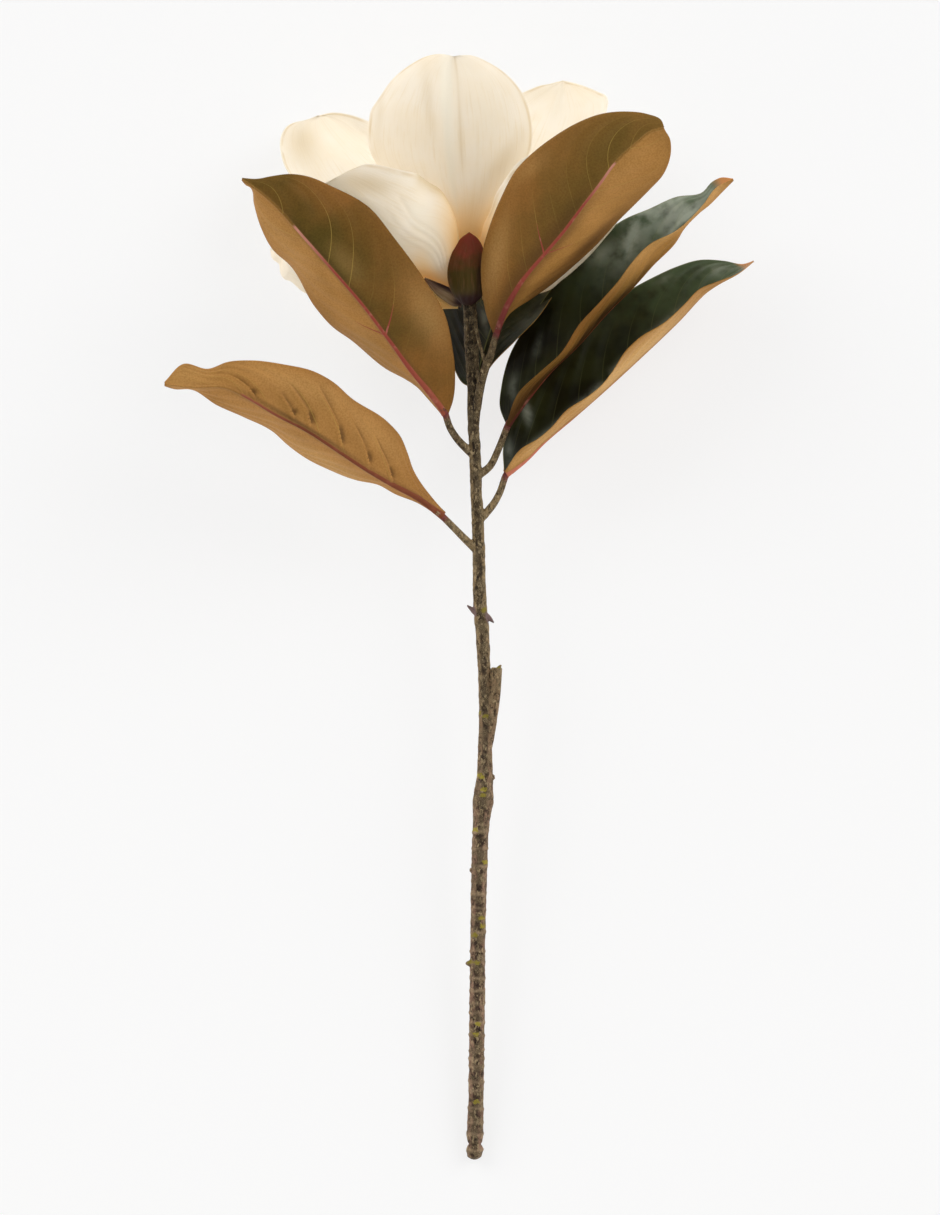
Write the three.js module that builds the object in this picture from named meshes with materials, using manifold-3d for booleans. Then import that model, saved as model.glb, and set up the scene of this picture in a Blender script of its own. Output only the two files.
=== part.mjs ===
// A cut magnolia branch that lies on a surface: one open bloom, six leaves and a long woody stem.
// Millimetres, +Z up. The branch is drawn in a frame of its own, which a group then lays down:
// X runs across the branch, Y along the stem from its cut end to the bloom, Z away from the surface.

import * as THREE from 'three';
import { mergeVertices } from 'three/addons/utils/BufferGeometryUtils.js';
import Module from 'manifold-3d';

const wasm = await Module();
wasm.setup();

// ---- driving dimensions, in millimetres and degrees ----

const SEAT = 0.35; // clearance between a piece and what carries it
const TANGENT = 0.004; // share of a line over which its direction is taken
const FACET = 0.01; // share of a blade over which its normal is taken

const LEAF = {
	thickness: 0.8,
	rib: 1.3, // how far the midrib stands out of the underside at the base
	ribFade: 0.7, // share of that height lost by the tip
	ribShare: 0.1, // half width of the midrib, as a share of the half blade
	rows: 18,
	columns: [ - 1, - 0.76, - 0.46, - 0.1, 0, 0.1, 0.46, 0.76, 1 ],
};

const PETAL = {
	thickness: 1,
	rows: 14,
	columns: [ - 1, - 0.8, - 0.52, - 0.25, 0, 0.25, 0.52, 0.8, 1 ],
	claw: 5, // half width of the narrow foot
	tip: 2.5, // half width where the rim closes
	slender: 1.5, // more narrows the lower half
	roundness: 2.3, // 2 ends a petal in an ellipse, more makes it fuller
	peak: 0.66, // where it is widest, as a share of its length
	roll: 0,
	rolledBy: 0.4, // share of the length by which a rolled petal is fully turned
	ripple: 1.5, // height of the rim's waves
	waves: 2,
	shift: 0.2, // how far the waves of the two halves are moved apart, as a share of a wave
	steps: 40, // straight steps of the midline
};

const STEM = { sides: 8, twigSides: 6 };

// The bloom sits on the stem's end and leans a little to one side and back.
const BLOOM = {
	base: [ - 3.5, 582, 0 ],
	leanAside: 4.5,
	leanBack: 8,
	coreRadius: 9,
};

// How the branch lies: its bloom end is raised on the back petals.
const LAY = { tilt: 6.73, lift: 4.93 };

// ---- small helpers ----

const radians = THREE.MathUtils.degToRad;

// Smooth value at t from 0 to 1 through equally spaced stations.
function along( stations, t ) {

	const last = stations.length - 1;
	const place = Math.min( Math.max( t, 0 ), 1 ) * last;
	const index = Math.min( Math.floor( place ), last - 1 );
	const f = place - index;
	const at = ( k ) => stations[ Math.min( Math.max( index + k, 0 ), last ) ];
	const [ a, b, c, d ] = [ at( - 1 ), at( 0 ), at( 1 ), at( 2 ) ];
	const bend = 2 * a - 5 * b + 4 * c - d;
	const turn = 3 * b - a - 3 * c + d;
	return 0.5 * ( 2 * b + ( c - a ) * f + bend * f * f + turn * f * f * f );

}

// Smooth point at t through equally spaced points.
function alongPath( points, t ) {

	const axis = ( k ) => along( points.map( ( p ) => p[ k ] ), t );
	return new THREE.Vector3( axis( 0 ), axis( 1 ), axis( 2 ) );

}

// Seeded random numbers from 0 to 1.
function randomFrom( seed ) {

	let state = seed;
	return () => {

		state = ( state * 1664525 + 1013904223 ) % 4294967296;
		return state / 4294967296;

	};

}

// ---- closed meshes from grids of points ----

function geometryFrom( points, triangles ) {

	const geometry = new THREE.BufferGeometry();
	const position = points.flatMap( ( p ) => [ p.x, p.y, p.z ] );
	geometry.setAttribute( 'position', new THREE.Float32BufferAttribute( position, 3 ) );
	geometry.setIndex( triangles.flat() );
	return geometry;

}

// A thin blade. Its midpoint and facing give the midline and the side that the upper face looks to.
// Each half leaves the midline at an angle and curls on by more, and its edge ripples.
// side is 1 for the half on the right when the upper face is seen with its tip up, else -1.
function bladePoint( blade, t, s ) {

	const middle = blade.midpoint( t );
	const ahead = blade.midpoint( Math.min( t + TANGENT, 1 ) );
	ahead.sub( blade.midpoint( Math.max( t - TANGENT, 0 ) ) ).normalize();
	const across = ahead.clone().cross( blade.facing( t ) ).normalize();
	const up = across.clone().cross( ahead );
	const side = s < 0 ? - 1 : 1;
	const share = Math.abs( s );
	const width = blade.halfWidth( side, t );
	const start = radians( blade.angle( side, t ) );
	const curl = radians( blade.curl( side, t ) );
	const turned = start + curl * share;
	const out = width * ( Math.sin( turned ) - Math.sin( start ) ) / curl;
	const rise = width * ( Math.cos( start ) - Math.cos( turned ) ) / curl;
	const wave = blade.ripple( side, t ) * share * share;
	middle.addScaledVector( across, side * ( out - wave * Math.sin( turned ) ) );
	return middle.addScaledVector( up, rise + wave * Math.cos( turned ) );

}

function bladeNormal( blade, t, s ) {

	const [ low, high ] = [ Math.max( t - FACET, 0 ), Math.min( t + FACET, 1 ) ];
	const [ left, right ] = [ Math.max( s - FACET, - 1 ), Math.min( s + FACET, 1 ) ];
	const lengthwise = bladePoint( blade, high, s ).sub( bladePoint( blade, low, s ) );
	const crosswise = bladePoint( blade, t, right ).sub( bladePoint( blade, t, left ) );
	return crosswise.cross( lengthwise ).normalize();

}

function bladeGeometry( blade, rows, columns ) {

	const points = [];
	const last = columns.length - 1;
	for ( let i = 0; i <= rows; i ++ ) {

		const t = 0.5 - 0.5 * Math.cos( Math.PI * i / rows );
		for ( const s of columns ) {

			const middle = bladePoint( blade, t, s );
			const normal = bladeNormal( blade, t, s );
			const half = blade.thickness / 2;
			points.push( middle.clone().addScaledVector( normal, half ) );
			points.push( middle.addScaledVector( normal, - half - blade.rib( t, s ) ) );

		}

	}

	const at = ( i, j, under ) => 2 * ( i * ( last + 1 ) + j ) + under;
	const triangles = [];
	for ( let i = 0; i < rows; i ++ ) {

		for ( let j = 0; j < last; j ++ ) {

			for ( const under of [ 0, 1 ] ) {

				const [ a, b ] = [ at( i, j, under ), at( i, j + 1, under ) ];
				const [ c, d ] = [ at( i + 1, j + 1, under ), at( i + 1, j, under ) ];
				triangles.push( ...( under ? [ [ a, c, b ], [ a, d, c ] ] : [ [ a, b, c ], [ a, c, d ] ] ) );

			}

		}

		triangles.push( ...rim( at( i + 1, 0, 0 ), at( i, 0, 0 ) ) );
		triangles.push( ...rim( at( i, last, 0 ), at( i + 1, last, 0 ) ) );

	}

	for ( let j = 0; j < last; j ++ ) {

		triangles.push( ...rim( at( 0, j, 0 ), at( 0, j + 1, 0 ) ) );
		triangles.push( ...rim( at( rows, j + 1, 0 ), at( rows, j, 0 ) ) );

	}

	return geometryFrom( points, triangles );

}

// Two triangles that join the upper edge a-b to the lower edge right under it.
function rim( a, b ) {

	return [ [ a, a + 1, b + 1 ], [ a, b + 1, b ] ];

}

// A round rod with a radius at each point of its path, and flat ends.
function rodGeometry( path, radii, sides, steps ) {

	const points = [];
	let across = new THREE.Vector3( 1, 0, 0 );
	for ( let i = 0; i <= steps; i ++ ) {

		const t = i / steps;
		const ahead = alongPath( path, Math.min( t + TANGENT, 1 ) );
		ahead.sub( alongPath( path, Math.max( t - TANGENT, 0 ) ) ).normalize();
		across = across.clone().addScaledVector( ahead, - across.dot( ahead ) ).normalize();
		const up = ahead.clone().cross( across );
		const middle = alongPath( path, t );
		const radius = typeof radii === 'function' ? radii( t ) : along( radii, t );
		for ( let k = 0; k < sides; k ++ ) {

			const turn = 2 * Math.PI * ( k + 0.5 ) / sides;
			const point = middle.clone().addScaledVector( across, radius * Math.cos( turn ) );
			points.push( point.addScaledVector( up, radius * Math.sin( turn ) ) );

		}

	}

	const triangles = [];
	for ( let k = 0; k < sides; k ++ ) {

		const next = ( k + 1 ) % sides;
		for ( let i = 0; i < steps; i ++ ) {

			const [ a, b ] = [ i * sides + k, i * sides + next ];
			triangles.push( [ a, b, b + sides ], [ a, b + sides, a + sides ] );

		}

		if ( k > 0 && k < sides - 1 ) {

			const top = steps * sides;
			triangles.push( [ 0, k + 1, k ], [ top, top + k, top + k + 1 ] );

		}

	}

	return geometryFrom( points, triangles );

}

// ---- joining ----

function solidFrom( geometry ) {

	const bare = geometry.clone();
	bare.deleteAttribute( 'normal' );
	bare.deleteAttribute( 'uv' );
	const merged = mergeVertices( bare, 1e-4 );
	const vertProperties = new Float32Array( merged.attributes.position.array );
	const triVerts = new Uint32Array( merged.index.array );
	return new wasm.Manifold( new wasm.Mesh( { numProp: 3, vertProperties, triVerts } ) );

}

function joined( geometries ) {

	const whole = geometries.map( solidFrom ).reduce( ( sum, solid ) => sum.add( solid ) );
	const { vertProperties, triVerts } = whole.getMesh();
	const geometry = new THREE.BufferGeometry();
	geometry.setAttribute( 'position', new THREE.Float32BufferAttribute( vertProperties, 3 ) );
	geometry.setIndex( [ ...triVerts ] );
	return geometry;

}

// ---- stem ----

// Each leaf stalk ends where its blade begins, so the blades' first points are shared.
const BLADE_BASE = {
	upperLeft: [ - 20, 506, 12 ],
	lowerLeft: [ - 21.5, 436, 9 ],
	upperRight: [ 14, 559, 15 ],
	middleRight: [ 20, 492.5, 2 ],
	lowerRight: [ 22.5, 462.5, - 3 ],
	back: [ 2.5, 524, - 12 ],
};

const TRUNK = {
	path: [ [ 0, 0, 0 ], [ 0.4, 32, 0.3 ], [ 1, 65, 0.5 ], [ 1.6, 97, 0.3 ], [ 2.2, 130, 0 ], [ 2.6, 162, 0 ],
		[ 3.2, 194, 0.3 ], [ 4.4, 226, 0.4 ], [ 6.4, 250, 0.2 ], [ 7.2, 266, 0 ], [ 7.6, 291, 0 ],
		[ 7.4, 323, 0 ], [ 6.2, 355, 0.2 ], [ 4.8, 386, 0.4 ], [ 3.6, 418, 0.2 ], [ 2.4, 450, 0 ],
		[ 0.6, 482, 0 ], [ - 0.9, 514, 0 ], [ - 1.8, 546, 0 ], [ - 3.3, 579.4, 0 ] ],
	radii: [ 5.5, 5.5, 5.4, 5.2, 5, 5, 5.1, 5.4, 6.6, 5.4, 4.9, 4.3, 4.1, 4.2, 4.3, 4.2, 4, 4.1, 4.5, 4.7 ],
	steps: 72,
	ringedTo: 0.44, // share of the length, from the cut end, that carries rings of bark
	ring: 0.45, // height of a ring
	rings: 15,
	sharpness: 8, // more narrows the rings
};

// Short growths: path from inside the stem outwards, and radii from root to end.
const GROWTHS = {
	branch: { path: [ [ 0, 490, - 1 ], [ 1, 505, 3 ], [ 4.6, 526, 9 ], [ 8.6, 540, 13 ] ],
		radii: [ 3, 3, 2.9, 2.9 ], steps: 6 },
	thinTwig: { path: [ [ 8.3, 538, 12 ], [ 4, 551, 9.5 ], [ 1.2, 563, 7 ], [ - 1.5, 577, 3 ] ],
		radii: [ 1.6, 1.3, 1.3, 1.4 ], steps: 5 },
	stub: { path: [ [ 7.3, 270, 0 ], [ 10, 288, 1 ], [ 13.6, 312, 1.5 ], [ 15.3, 333, 2 ] ],
		radii: [ 3.2, 3.9, 3.9, 3.7 ], steps: 5 },
	scarLeft: { path: [ [ 3.5, 368, 0 ], [ - 0.8, 372, 0.5 ], [ - 5, 375.5, 1 ] ],
		radii: [ 2.6, 1.8, 0.5 ], steps: 2 },
	scarRight: { path: [ [ 5.5, 370, 0 ], [ 9.6, 367, 0.6 ], [ 13.2, 363.5, 1 ] ],
		radii: [ 2.6, 1.9, 0.5 ], steps: 2 },
	knotRight: { path: [ [ 8, 258, 0 ], [ 11.5, 258.5, 0 ], [ 14, 258.6, 0 ] ],
		radii: [ 3.4, 2.6, 1.4 ], steps: 2 },
	knotLeft: { path: [ [ 2, 195.5, 0 ], [ - 1.6, 195.4, 0 ], [ - 3.5, 195.5, 0 ] ],
		radii: [ 3, 2.2, 1.2 ], steps: 2 },
	knotLow: { path: [ [ 1, 132, 0 ], [ - 3.2, 132, 0 ], [ - 5.4, 132.3, 0 ] ],
		radii: [ 3, 2.2, 1.1 ], steps: 2 },
};

const STALKS = {
	upperLeft: { root: [ - 1, 478, 0 ], bend: [ - 10.5, 487, 4 ], near: [ - 16.6, 496, 8.6 ] },
	lowerLeft: { root: [ 1.5, 413, 0 ], bend: [ - 7, 421, 3.5 ], near: [ - 14.5, 428.6, 6.6 ] },
	upperRight: { root: [ 8, 538, 12.5 ], bend: [ 11, 545, 13.6 ], near: [ 12.6, 551.5, 14.3 ] },
	middleRight: { root: [ 1.5, 463, 0 ], bend: [ 10.5, 470, 0.8 ], near: [ 15.9, 480.5, 1.5 ] },
	lowerRight: { root: [ 3, 433, 0 ], bend: [ 12, 443, - 1.2 ], near: [ 17.4, 452.5, - 2.2 ] },
	back: { root: [ - 0.8, 508, 0 ], bend: [ 0.2, 513.5, - 5 ], near: [ 1.2, 518.5, - 9 ] },
};

// gap: from the end of a stalk to the first point of its blade's midline.
const STALK = { radii: [ 3, 2.6, 2.5, 2.2 ], gap: 0.85, steps: 6 };

function stemGeometry() {

	const ringed = ( t ) => {

		const wave = Math.sin( Math.PI * TRUNK.rings * t / TRUNK.ringedTo );
		const bark = t < TRUNK.ringedTo ? wave ** TRUNK.sharpness : 0;
		return along( TRUNK.radii, t ) + TRUNK.ring * bark;

	};

	const pieces = [ rodGeometry( TRUNK.path, ringed, STEM.sides, TRUNK.steps ) ];
	for ( const { path, radii, steps } of Object.values( GROWTHS ) ) {

		pieces.push( rodGeometry( path, radii, STEM.twigSides, steps ) );

	}

	for ( const [ name, { root, bend, near } ] of Object.entries( STALKS ) ) {

		const base = new THREE.Vector3( ...BLADE_BASE[ name ] );
		const back = base.clone().sub( new THREE.Vector3( ...near ) ).setLength( STALK.gap );
		const path = [ root, bend, near, base.sub( back ).toArray() ];
		pieces.push( rodGeometry( path, STALK.radii, STEM.twigSides, STALK.steps ) );

	}

	return joined( pieces );

}

// ---- leaves ----

// midline: equally spaced points from the stalk to the tip. facing: where the upper face looks.
// halfWidth: half widths at equal stations. right, left: angles of the two halves from the flat.
// ripple: height of the edge's waves, how many there are, and where they start on each side.
const LEAVES = {
	leaf_upper_left: {
		midline: [ BLADE_BASE.upperLeft, [ - 44, 536, 35 ], [ - 67, 566, 58 ], [ - 92, 596, 79 ],
			[ - 120, 628, 94 ], [ - 154, 656, 100 ] ],
		facing: [ 0, 0, - 1 ],
		halfWidth: [ 3, 21, 34, 41, 44, 45.5, 45.5, 43, 37, 23, 1.5 ],
		right: [ 70, 64, 52, 48, 56, 56 ],
		left: [ 10, 6, - 2, - 2, 0, 4 ],
		curl: 22,
		ripple: { height: 2.5, waves: 3.5, right: 0.1, left: 0.55 },
	},
	leaf_lower_left: {
		midline: [ BLADE_BASE.lowerLeft, [ - 56, 457, 27 ], [ - 90, 478, 43 ], [ - 126, 500, 56 ],
			[ - 165, 519, 64 ], [ - 207, 523, 66 ] ],
		facing: [ 0, 0, - 1 ],
		halfWidth: [ 3, 13, 26, 36, 39, 39, 36.5, 31, 23, 14, 1.5 ],
		right: [ 76, 74, 58, 56, 62, 60 ],
		left: [ 30, 24, 14, 10, 16, 20 ],
		curl: 22,
		ripple: { height: 3, waves: 4, right: 0.2, left: 0.6 },
	},
	leaf_upper_right: {
		midline: [ BLADE_BASE.upperRight, [ 30, 590, 41 ], [ 52, 615, 65 ], [ 74, 641, 85 ],
			[ 97, 669, 98 ], [ 127, 695, 103 ] ],
		facing: [ 0, 0, - 1 ],
		halfWidth: [ 3, 19, 31, 40, 45, 48, 47.5, 43.5, 36, 24, 1.5 ],
		right: [ 14, 4, - 2, - 2, 0, 4 ],
		left: [ 70, 60, 50, 46, 36, 40 ],
		curl: 22,
		ripple: { height: 2.2, waves: 3, right: 0.3, left: 0.8 },
	},
	leaf_middle_right: {
		midline: [ BLADE_BASE.middleRight, [ 47, 525, - 3 ], [ 77, 561, - 7 ], [ 105, 594, - 8 ],
			[ 138, 630, - 8 ], [ 173, 664, - 6 ] ],
		facing: [ 0, 0, 1 ],
		halfWidth: [ 3, 19, 31, 39, 42, 43, 42, 38, 30, 16, 1.5 ],
		right: [ 100, 98, 95, 94, 95, 96 ],
		left: [ - 40, - 36, - 34, - 36, - 40, - 40 ],
		curl: 20,
		ripple: { height: 2.5, waves: 3.5, right: 0.2, left: 0.7 },
	},
	leaf_lower_right: {
		midline: [ BLADE_BASE.lowerRight, [ 57, 502, - 15 ], [ 91, 530, - 26 ], [ 125, 557, - 33 ],
			[ 158, 585, - 38 ], [ 189, 606, - 40 ] ],
		facing: [ 0, 0, 1 ],
		halfWidth: [ 3, 20, 33, 40, 44, 45, 44, 40, 32, 20, 1.5 ],
		right: [ 100, 98, 95, 94, 95, 96 ],
		left: [ - 40, - 36, - 34, - 36, - 40, - 40 ],
		curl: 20,
		ripple: { height: 2.5, waves: 3.5, right: 0.45, left: 0.9 },
	},
	leaf_back: {
		midline: [ BLADE_BASE.back, [ 5, 547, - 31 ], [ 11, 571, - 46 ], [ 18, 597, - 60 ],
			[ 24, 622, - 70 ], [ 28, 642, - 80.2 ] ],
		facing: [ 0, 0.5, 1 ],
		halfWidth: [ 3, 20, 31, 38, 41, 42, 41, 37, 30, 19, 1.5 ],
		right: [ 66, 58, 44, 26, 12, 6 ],
		left: [ 20, 10, 6, 4, 4, 4 ],
		curl: 20,
		ripple: { height: 2, waves: 3, right: 0.1, left: 0.4 },
	},
};

function leafGeometry( leaf ) {

	const facing = new THREE.Vector3( ...leaf.facing );
	const { height, waves } = leaf.ripple;
	return bladeGeometry( {
		thickness: LEAF.thickness,
		midpoint: ( t ) => alongPath( leaf.midline, t ),
		facing: () => facing,
		halfWidth: ( side, t ) => along( leaf.halfWidth, t ),
		angle: ( side, t ) => along( side > 0 ? leaf.right : leaf.left, t ),
		curl: () => leaf.curl,
		ripple: ( side, t ) => {

			const start = side > 0 ? leaf.ripple.right : leaf.ripple.left;
			return height * Math.sin( Math.PI * t ) * Math.sin( 2 * Math.PI * ( waves * t + start ) );

		},
		rib: ( t, s ) => Math.abs( s ) < LEAF.ribShare / 2 ? LEAF.rib * ( 1 - LEAF.ribFade * t ) : 0,
	}, LEAF.rows, LEAF.columns );

}

// ---- bloom ----

// Pieces that need fewer facets.
const PLAIN = { rows: 11, columns: [ - 1, - 0.7, - 0.35, 0, 0.35, 0.7, 1 ] };

// azimuth: where the petal points, from the front, round the bloom's axis. foot: height of its claw.
// root: distance from the axis to what carries it, the receptacle unless it is given.
// lean: angles of the midline from the axis, at equal stations. curl: how far each half curls in.
// roll: how far the right half is raised and the left one lowered.
// right, left: what one half takes of the width and of the curl.
const PETALS = {
	petal_front: { azimuth: - 4, foot: 14, length: 154, width: 126,
		lean: [ 4, 26, 28, 8, - 12 ], curl: [ 34, 50, 52, 50, 44, 36 ] },
	petal_inner_left: { azimuth: - 104, foot: 14, length: 118, width: 46,
		lean: [ 8, 10, 10, 2, - 8 ], curl: [ 34, 36, 36, 34, 30, 26 ], ...PLAIN },
	petal_inner_right: { azimuth: 102, foot: 14, length: 122, width: 46,
		lean: [ 8, 10, 10, 2, - 6 ], curl: [ 34, 36, 36, 34, 30, 26 ], ...PLAIN },
	petal_front_left: { azimuth: - 49, foot: 6, length: 144, width: 114, roll: - 8, peak: 0.58,
		lean: [ 26, 82, 71, 51, 32 ], curl: [ 34, 90, 80, 56, 42, 36 ],
		right: { width: 0.82, curl: 0.6 }, left: { width: 1.12, curl: 1 } },
	petal_front_right: { azimuth: 57, foot: 8, length: 133, width: 110, roll: 8,
		lean: [ 18, 68, 73, 62, 50 ], curl: [ 34, 100, 84, 66, 54, 44 ],
		left: { width: 0.9, curl: 0.6 } },
	petal_back_left: { azimuth: - 126.6, foot: 8, length: 169, width: 112, roll: 25, peak: 0.74, roundness: 3,
		lean: [ 12, 34, 38, 40, 35 ], curl: [ 34, 44, 44, 42, 36, 30 ],
		right: { width: 0.98, curl: 1 }, left: { width: 1.3, curl: 0.6 } },
	petal_back_right: { azimuth: 119, foot: 8, length: 170, width: 110, roll: - 33, peak: 0.72,
		lean: [ 12, 34, 37, 36, 24 ], curl: [ 34, 44, 44, 42, 36, 30 ],
		left: { width: 1.14, curl: 1 } },
	petal_low_left: { azimuth: - 90, foot: 2, length: 130, width: 98, roll: 4,
		lean: [ 60, 86, 86, 71, 46 ], curl: [ 34, 54, 50, 46, 44, 40 ] },
	petal_low_right: { azimuth: 92, foot: 2, length: 108, width: 68,
		lean: [ 70, 90, 61, 48, 20 ], curl: [ 34, 50, 44, 40, 34, 30 ],
		left: { width: 0.55, curl: 1 } },
	petal_back: { azimuth: 180, foot: 2, length: 144, width: 104,
		lean: [ 20, 42, 32, 12, 0 ], curl: [ 34, 46, 42, 38, 34, 30 ], ...PLAIN },
};

const BRACTS = {
	bract_front: { azimuth: - 1, root: 5.1, foot: - 3, length: 55, width: 28, lean: [ 76, 58, 16, 6, 4 ],
		curl: [ 40, 40, 36, 36, 40 ], thickness: 0.9, peak: 0.45, roundness: 1.7, ripple: 0.6, ...PLAIN },
	bract_side: { azimuth: - 64, root: 5.1, foot: - 6, length: 36, width: 18, lean: [ 84, 76, 66, 58, 50 ],
		curl: [ 50, 60, 60, 60, 60 ], thickness: 0.9, peak: 0.45, roundness: 1.7, ripple: 0.6, ...PLAIN },
};

// Half width of a petal that is widest at its peak and round at its end.
function petalHalfWidth( petal, most, t ) {

	const { peak, roundness } = petal;
	const growth = Math.sin( Math.PI / 2 * Math.min( t / peak, 1 ) ) ** PETAL.slender;
	if ( t < peak ) return PETAL.claw + ( most - PETAL.claw ) * growth;
	const past = ( t - peak ) / ( 1 - peak );
	return Math.max( most * Math.sqrt( 1 - past ** roundness ), PETAL.tip );

}

// Points of the midline, in the plane of the axis Y and the outward direction Z.
function petalMidline( petal ) {

	const step = petal.length / PETAL.steps;
	const points = [ [ 0, petal.foot, petal.root + SEAT + petal.thickness / 2 ] ];
	for ( let i = 0; i < PETAL.steps; i ++ ) {

		const lean = radians( along( petal.lean, ( i + 0.5 ) / PETAL.steps ) );
		const [ x, y, z ] = points.at( - 1 );
		points.push( [ x, y + step * Math.cos( lean ), z + step * Math.sin( lean ) ] );

	}

	return points;

}

function petalGeometry( spec ) {

	const petal = { ...PETAL, root: BLOOM.coreRadius, ...spec };
	const midline = petalMidline( petal );
	const half = ( side ) => ( side > 0 ? petal.right : petal.left ) || { width: 1, curl: 1 };
	const wave = ( side, t ) => Math.sin( 2 * Math.PI * ( petal.waves * t + side * PETAL.shift ) );
	return bladeGeometry( {
		thickness: petal.thickness,
		midpoint: ( t ) => alongPath( midline, t ),
		facing: ( t ) => {

			const lean = radians( along( petal.lean, t ) );
			return new THREE.Vector3( 0, Math.sin( lean ), - Math.cos( lean ) );

		},
		halfWidth: ( side, t ) => petalHalfWidth( petal, petal.width / 2 * half( side ).width, t ),
		angle: ( side, t ) => side * petal.roll * Math.min( t / PETAL.rolledBy, 1 ),
		curl: ( side, t ) => half( side ).curl * along( petal.curl, t ),
		ripple: ( side, t ) => petal.ripple * t * wave( side, t ),
		rib: () => 0,
	}, petal.rows, petal.columns );

}

// Receptacle and the cone of carpels on it, as distances from the axis and heights.
const CORE = {
	profile: [ [ 0, - 1 ], [ 5.5, - 1 ], [ 9, 1.5 ], [ 9, 21 ], [ 6.6, 22.5 ], [ 6.6, 29 ], [ 7.6, 38 ],
		[ 7, 44 ], [ 4.6, 50 ], [ 0, 52 ] ],
	sides: 14,
};

// The carpels' curved styles, in rings up the cone. spread: how much a length or a turn varies.
const STYLES = {
	rings: 4,
	perRing: 7,
	firstRing: 37,
	ringStep: 4,
	radius: 7.2, // from the axis, in the lowest ring
	taper: 0.32, // how much nearer the axis a ring is, for the square of its number
	length: 7,
	spread: { length: 0.3, turn: 0.2 },
	radii: [ 1.5, 1.3, 0.9, 0.5 ],
	sides: 3,
};

// A collar with straps on it, which lean out by one of two angles in turn.
const STAMENS = {
	count: 40,
	inner: 7.1,
	outer: 8.9,
	low: 22.8,
	high: 25.5,
	length: 12,
	lean: [ 5, 14 ],
	spread: { length: 0.25, turn: 0.3, lean: 3 },
	radius: 0.75,
	sunk: [ 0.8, 1.2 ], // how far a strap's root lies inside the collar's outer and lower face
	sides: 3,
};

function latheGeometry( profile, sides ) {

	return new THREE.LatheGeometry( profile.map( ( p ) => new THREE.Vector2( ...p ) ), sides );

}

// One style: it leaves the cone, turns up and curls back in.
function styleGeometry( turn, radius, height, reach ) {

	const at = ( r, h ) => [ r * Math.sin( turn ), h, r * Math.cos( turn ) ];
	const path = [ at( radius - 2, height ), at( radius + 1.6, height + 1.4 ),
		at( radius + 2.6, height + 0.6 * reach ), at( radius + 1.2, height + reach ) ];
	return rodGeometry( path, STYLES.radii, STYLES.sides, path.length - 1 );

}

function coreGeometry() {

	const { rings, perRing, spread } = STYLES;
	const random = randomFrom( 7 );
	const pieces = [ latheGeometry( CORE.profile, CORE.sides ) ];
	for ( let ring = 0; ring < rings; ring ++ ) {

		const height = STYLES.firstRing + ring * STYLES.ringStep;
		const radius = STYLES.radius - STYLES.taper * ring * ring;
		const count = perRing - Math.floor( ring / 2 );
		for ( let k = 0; k < count; k ++ ) {

			const turn = 2 * Math.PI * ( k + ring / 2 + spread.turn * random() ) / count;
			const reach = STYLES.length * ( 1 + spread.length * ( random() - 0.5 ) );
			pieces.push( styleGeometry( turn, radius, height, reach ) );

		}

	}

	return joined( pieces );

}

function stamenGeometry() {

	const { count, inner, outer, low, high, spread, radius } = STAMENS;
	const random = randomFrom( 11 );
	const [ deep, raised ] = STAMENS.sunk;
	const collar = [ [ inner, low ], [ outer, low ], [ outer, high ], [ inner, high ], [ inner, low ] ];
	const pieces = [ latheGeometry( collar, CORE.sides ) ];
	for ( let k = 0; k < count; k ++ ) {

		const turn = 2 * Math.PI * ( k + spread.turn * random() ) / count;
		const lean = radians( STAMENS.lean[ k % 2 ] + spread.lean * random() );
		const reach = STAMENS.length * ( 1 + spread.length * ( random() - 0.6 ) );
		const at = ( share ) => {

			const r = outer - deep + reach * share * Math.sin( lean );
			const height = low + raised + reach * share * Math.cos( lean );
			return [ r * Math.sin( turn ), height, r * Math.cos( turn ) ];

		};

		const radii = [ radius, radius, radius / 2 ];
		pieces.push( rodGeometry( [ at( 0 ), at( 0.5 ), at( 1 ) ], radii, STAMENS.sides, 1 ) );

	}

	return joined( pieces );

}

// ---- the branch ----

const FINISHES = {
	bark: { color: 0x6b5442, roughness: 0.85 },
	leaf: { color: 0x8a6a36, roughness: 0.6 },
	petal: { color: 0xf1e8d2, roughness: 0.6 },
	bract: { color: 0x4a2a1c, roughness: 0.7 },
	cone: { color: 0xb9b26a, roughness: 0.7 },
	stamen: { color: 0xe9d79c, roughness: 0.7 },
};

function piece( name, geometry, finish ) {

	const material = new THREE.MeshStandardMaterial( { ...FINISHES[ finish ], metalness: 0 } );
	const mesh = new THREE.Mesh( geometry, material );
	mesh.name = name;
	return mesh;

}

function bloomGroup() {

	const bloom = new THREE.Group();
	bloom.position.set( ...BLOOM.base );
	bloom.rotation.set( - radians( BLOOM.leanBack ), 0, radians( BLOOM.leanAside ) );
	for ( const [ name, spec ] of Object.entries( { ...PETALS, ...BRACTS } ) ) {

		const petal = piece( name, petalGeometry( spec ), name in PETALS ? 'petal' : 'bract' );
		petal.rotation.y = radians( spec.azimuth );
		bloom.add( petal );

	}

	bloom.add( piece( 'flower_core', coreGeometry(), 'cone' ) );
	bloom.add( piece( 'stamens', stamenGeometry(), 'stamen' ) );
	return bloom;

}

// Flattens what would sink into the surface, so that it rests on small flat spots.
function restOnSurface( mesh ) {

	const toMesh = mesh.matrixWorld.clone().invert();
	const position = mesh.geometry.attributes.position;
	const point = new THREE.Vector3();
	for ( let i = 0; i < position.count; i ++ ) {

		point.fromBufferAttribute( position, i ).applyMatrix4( mesh.matrixWorld );
		if ( point.z < 0 ) point.setZ( 0 );
		position.setXYZ( i, ...point.applyMatrix4( toMesh ).toArray() );

	}

}

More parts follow.
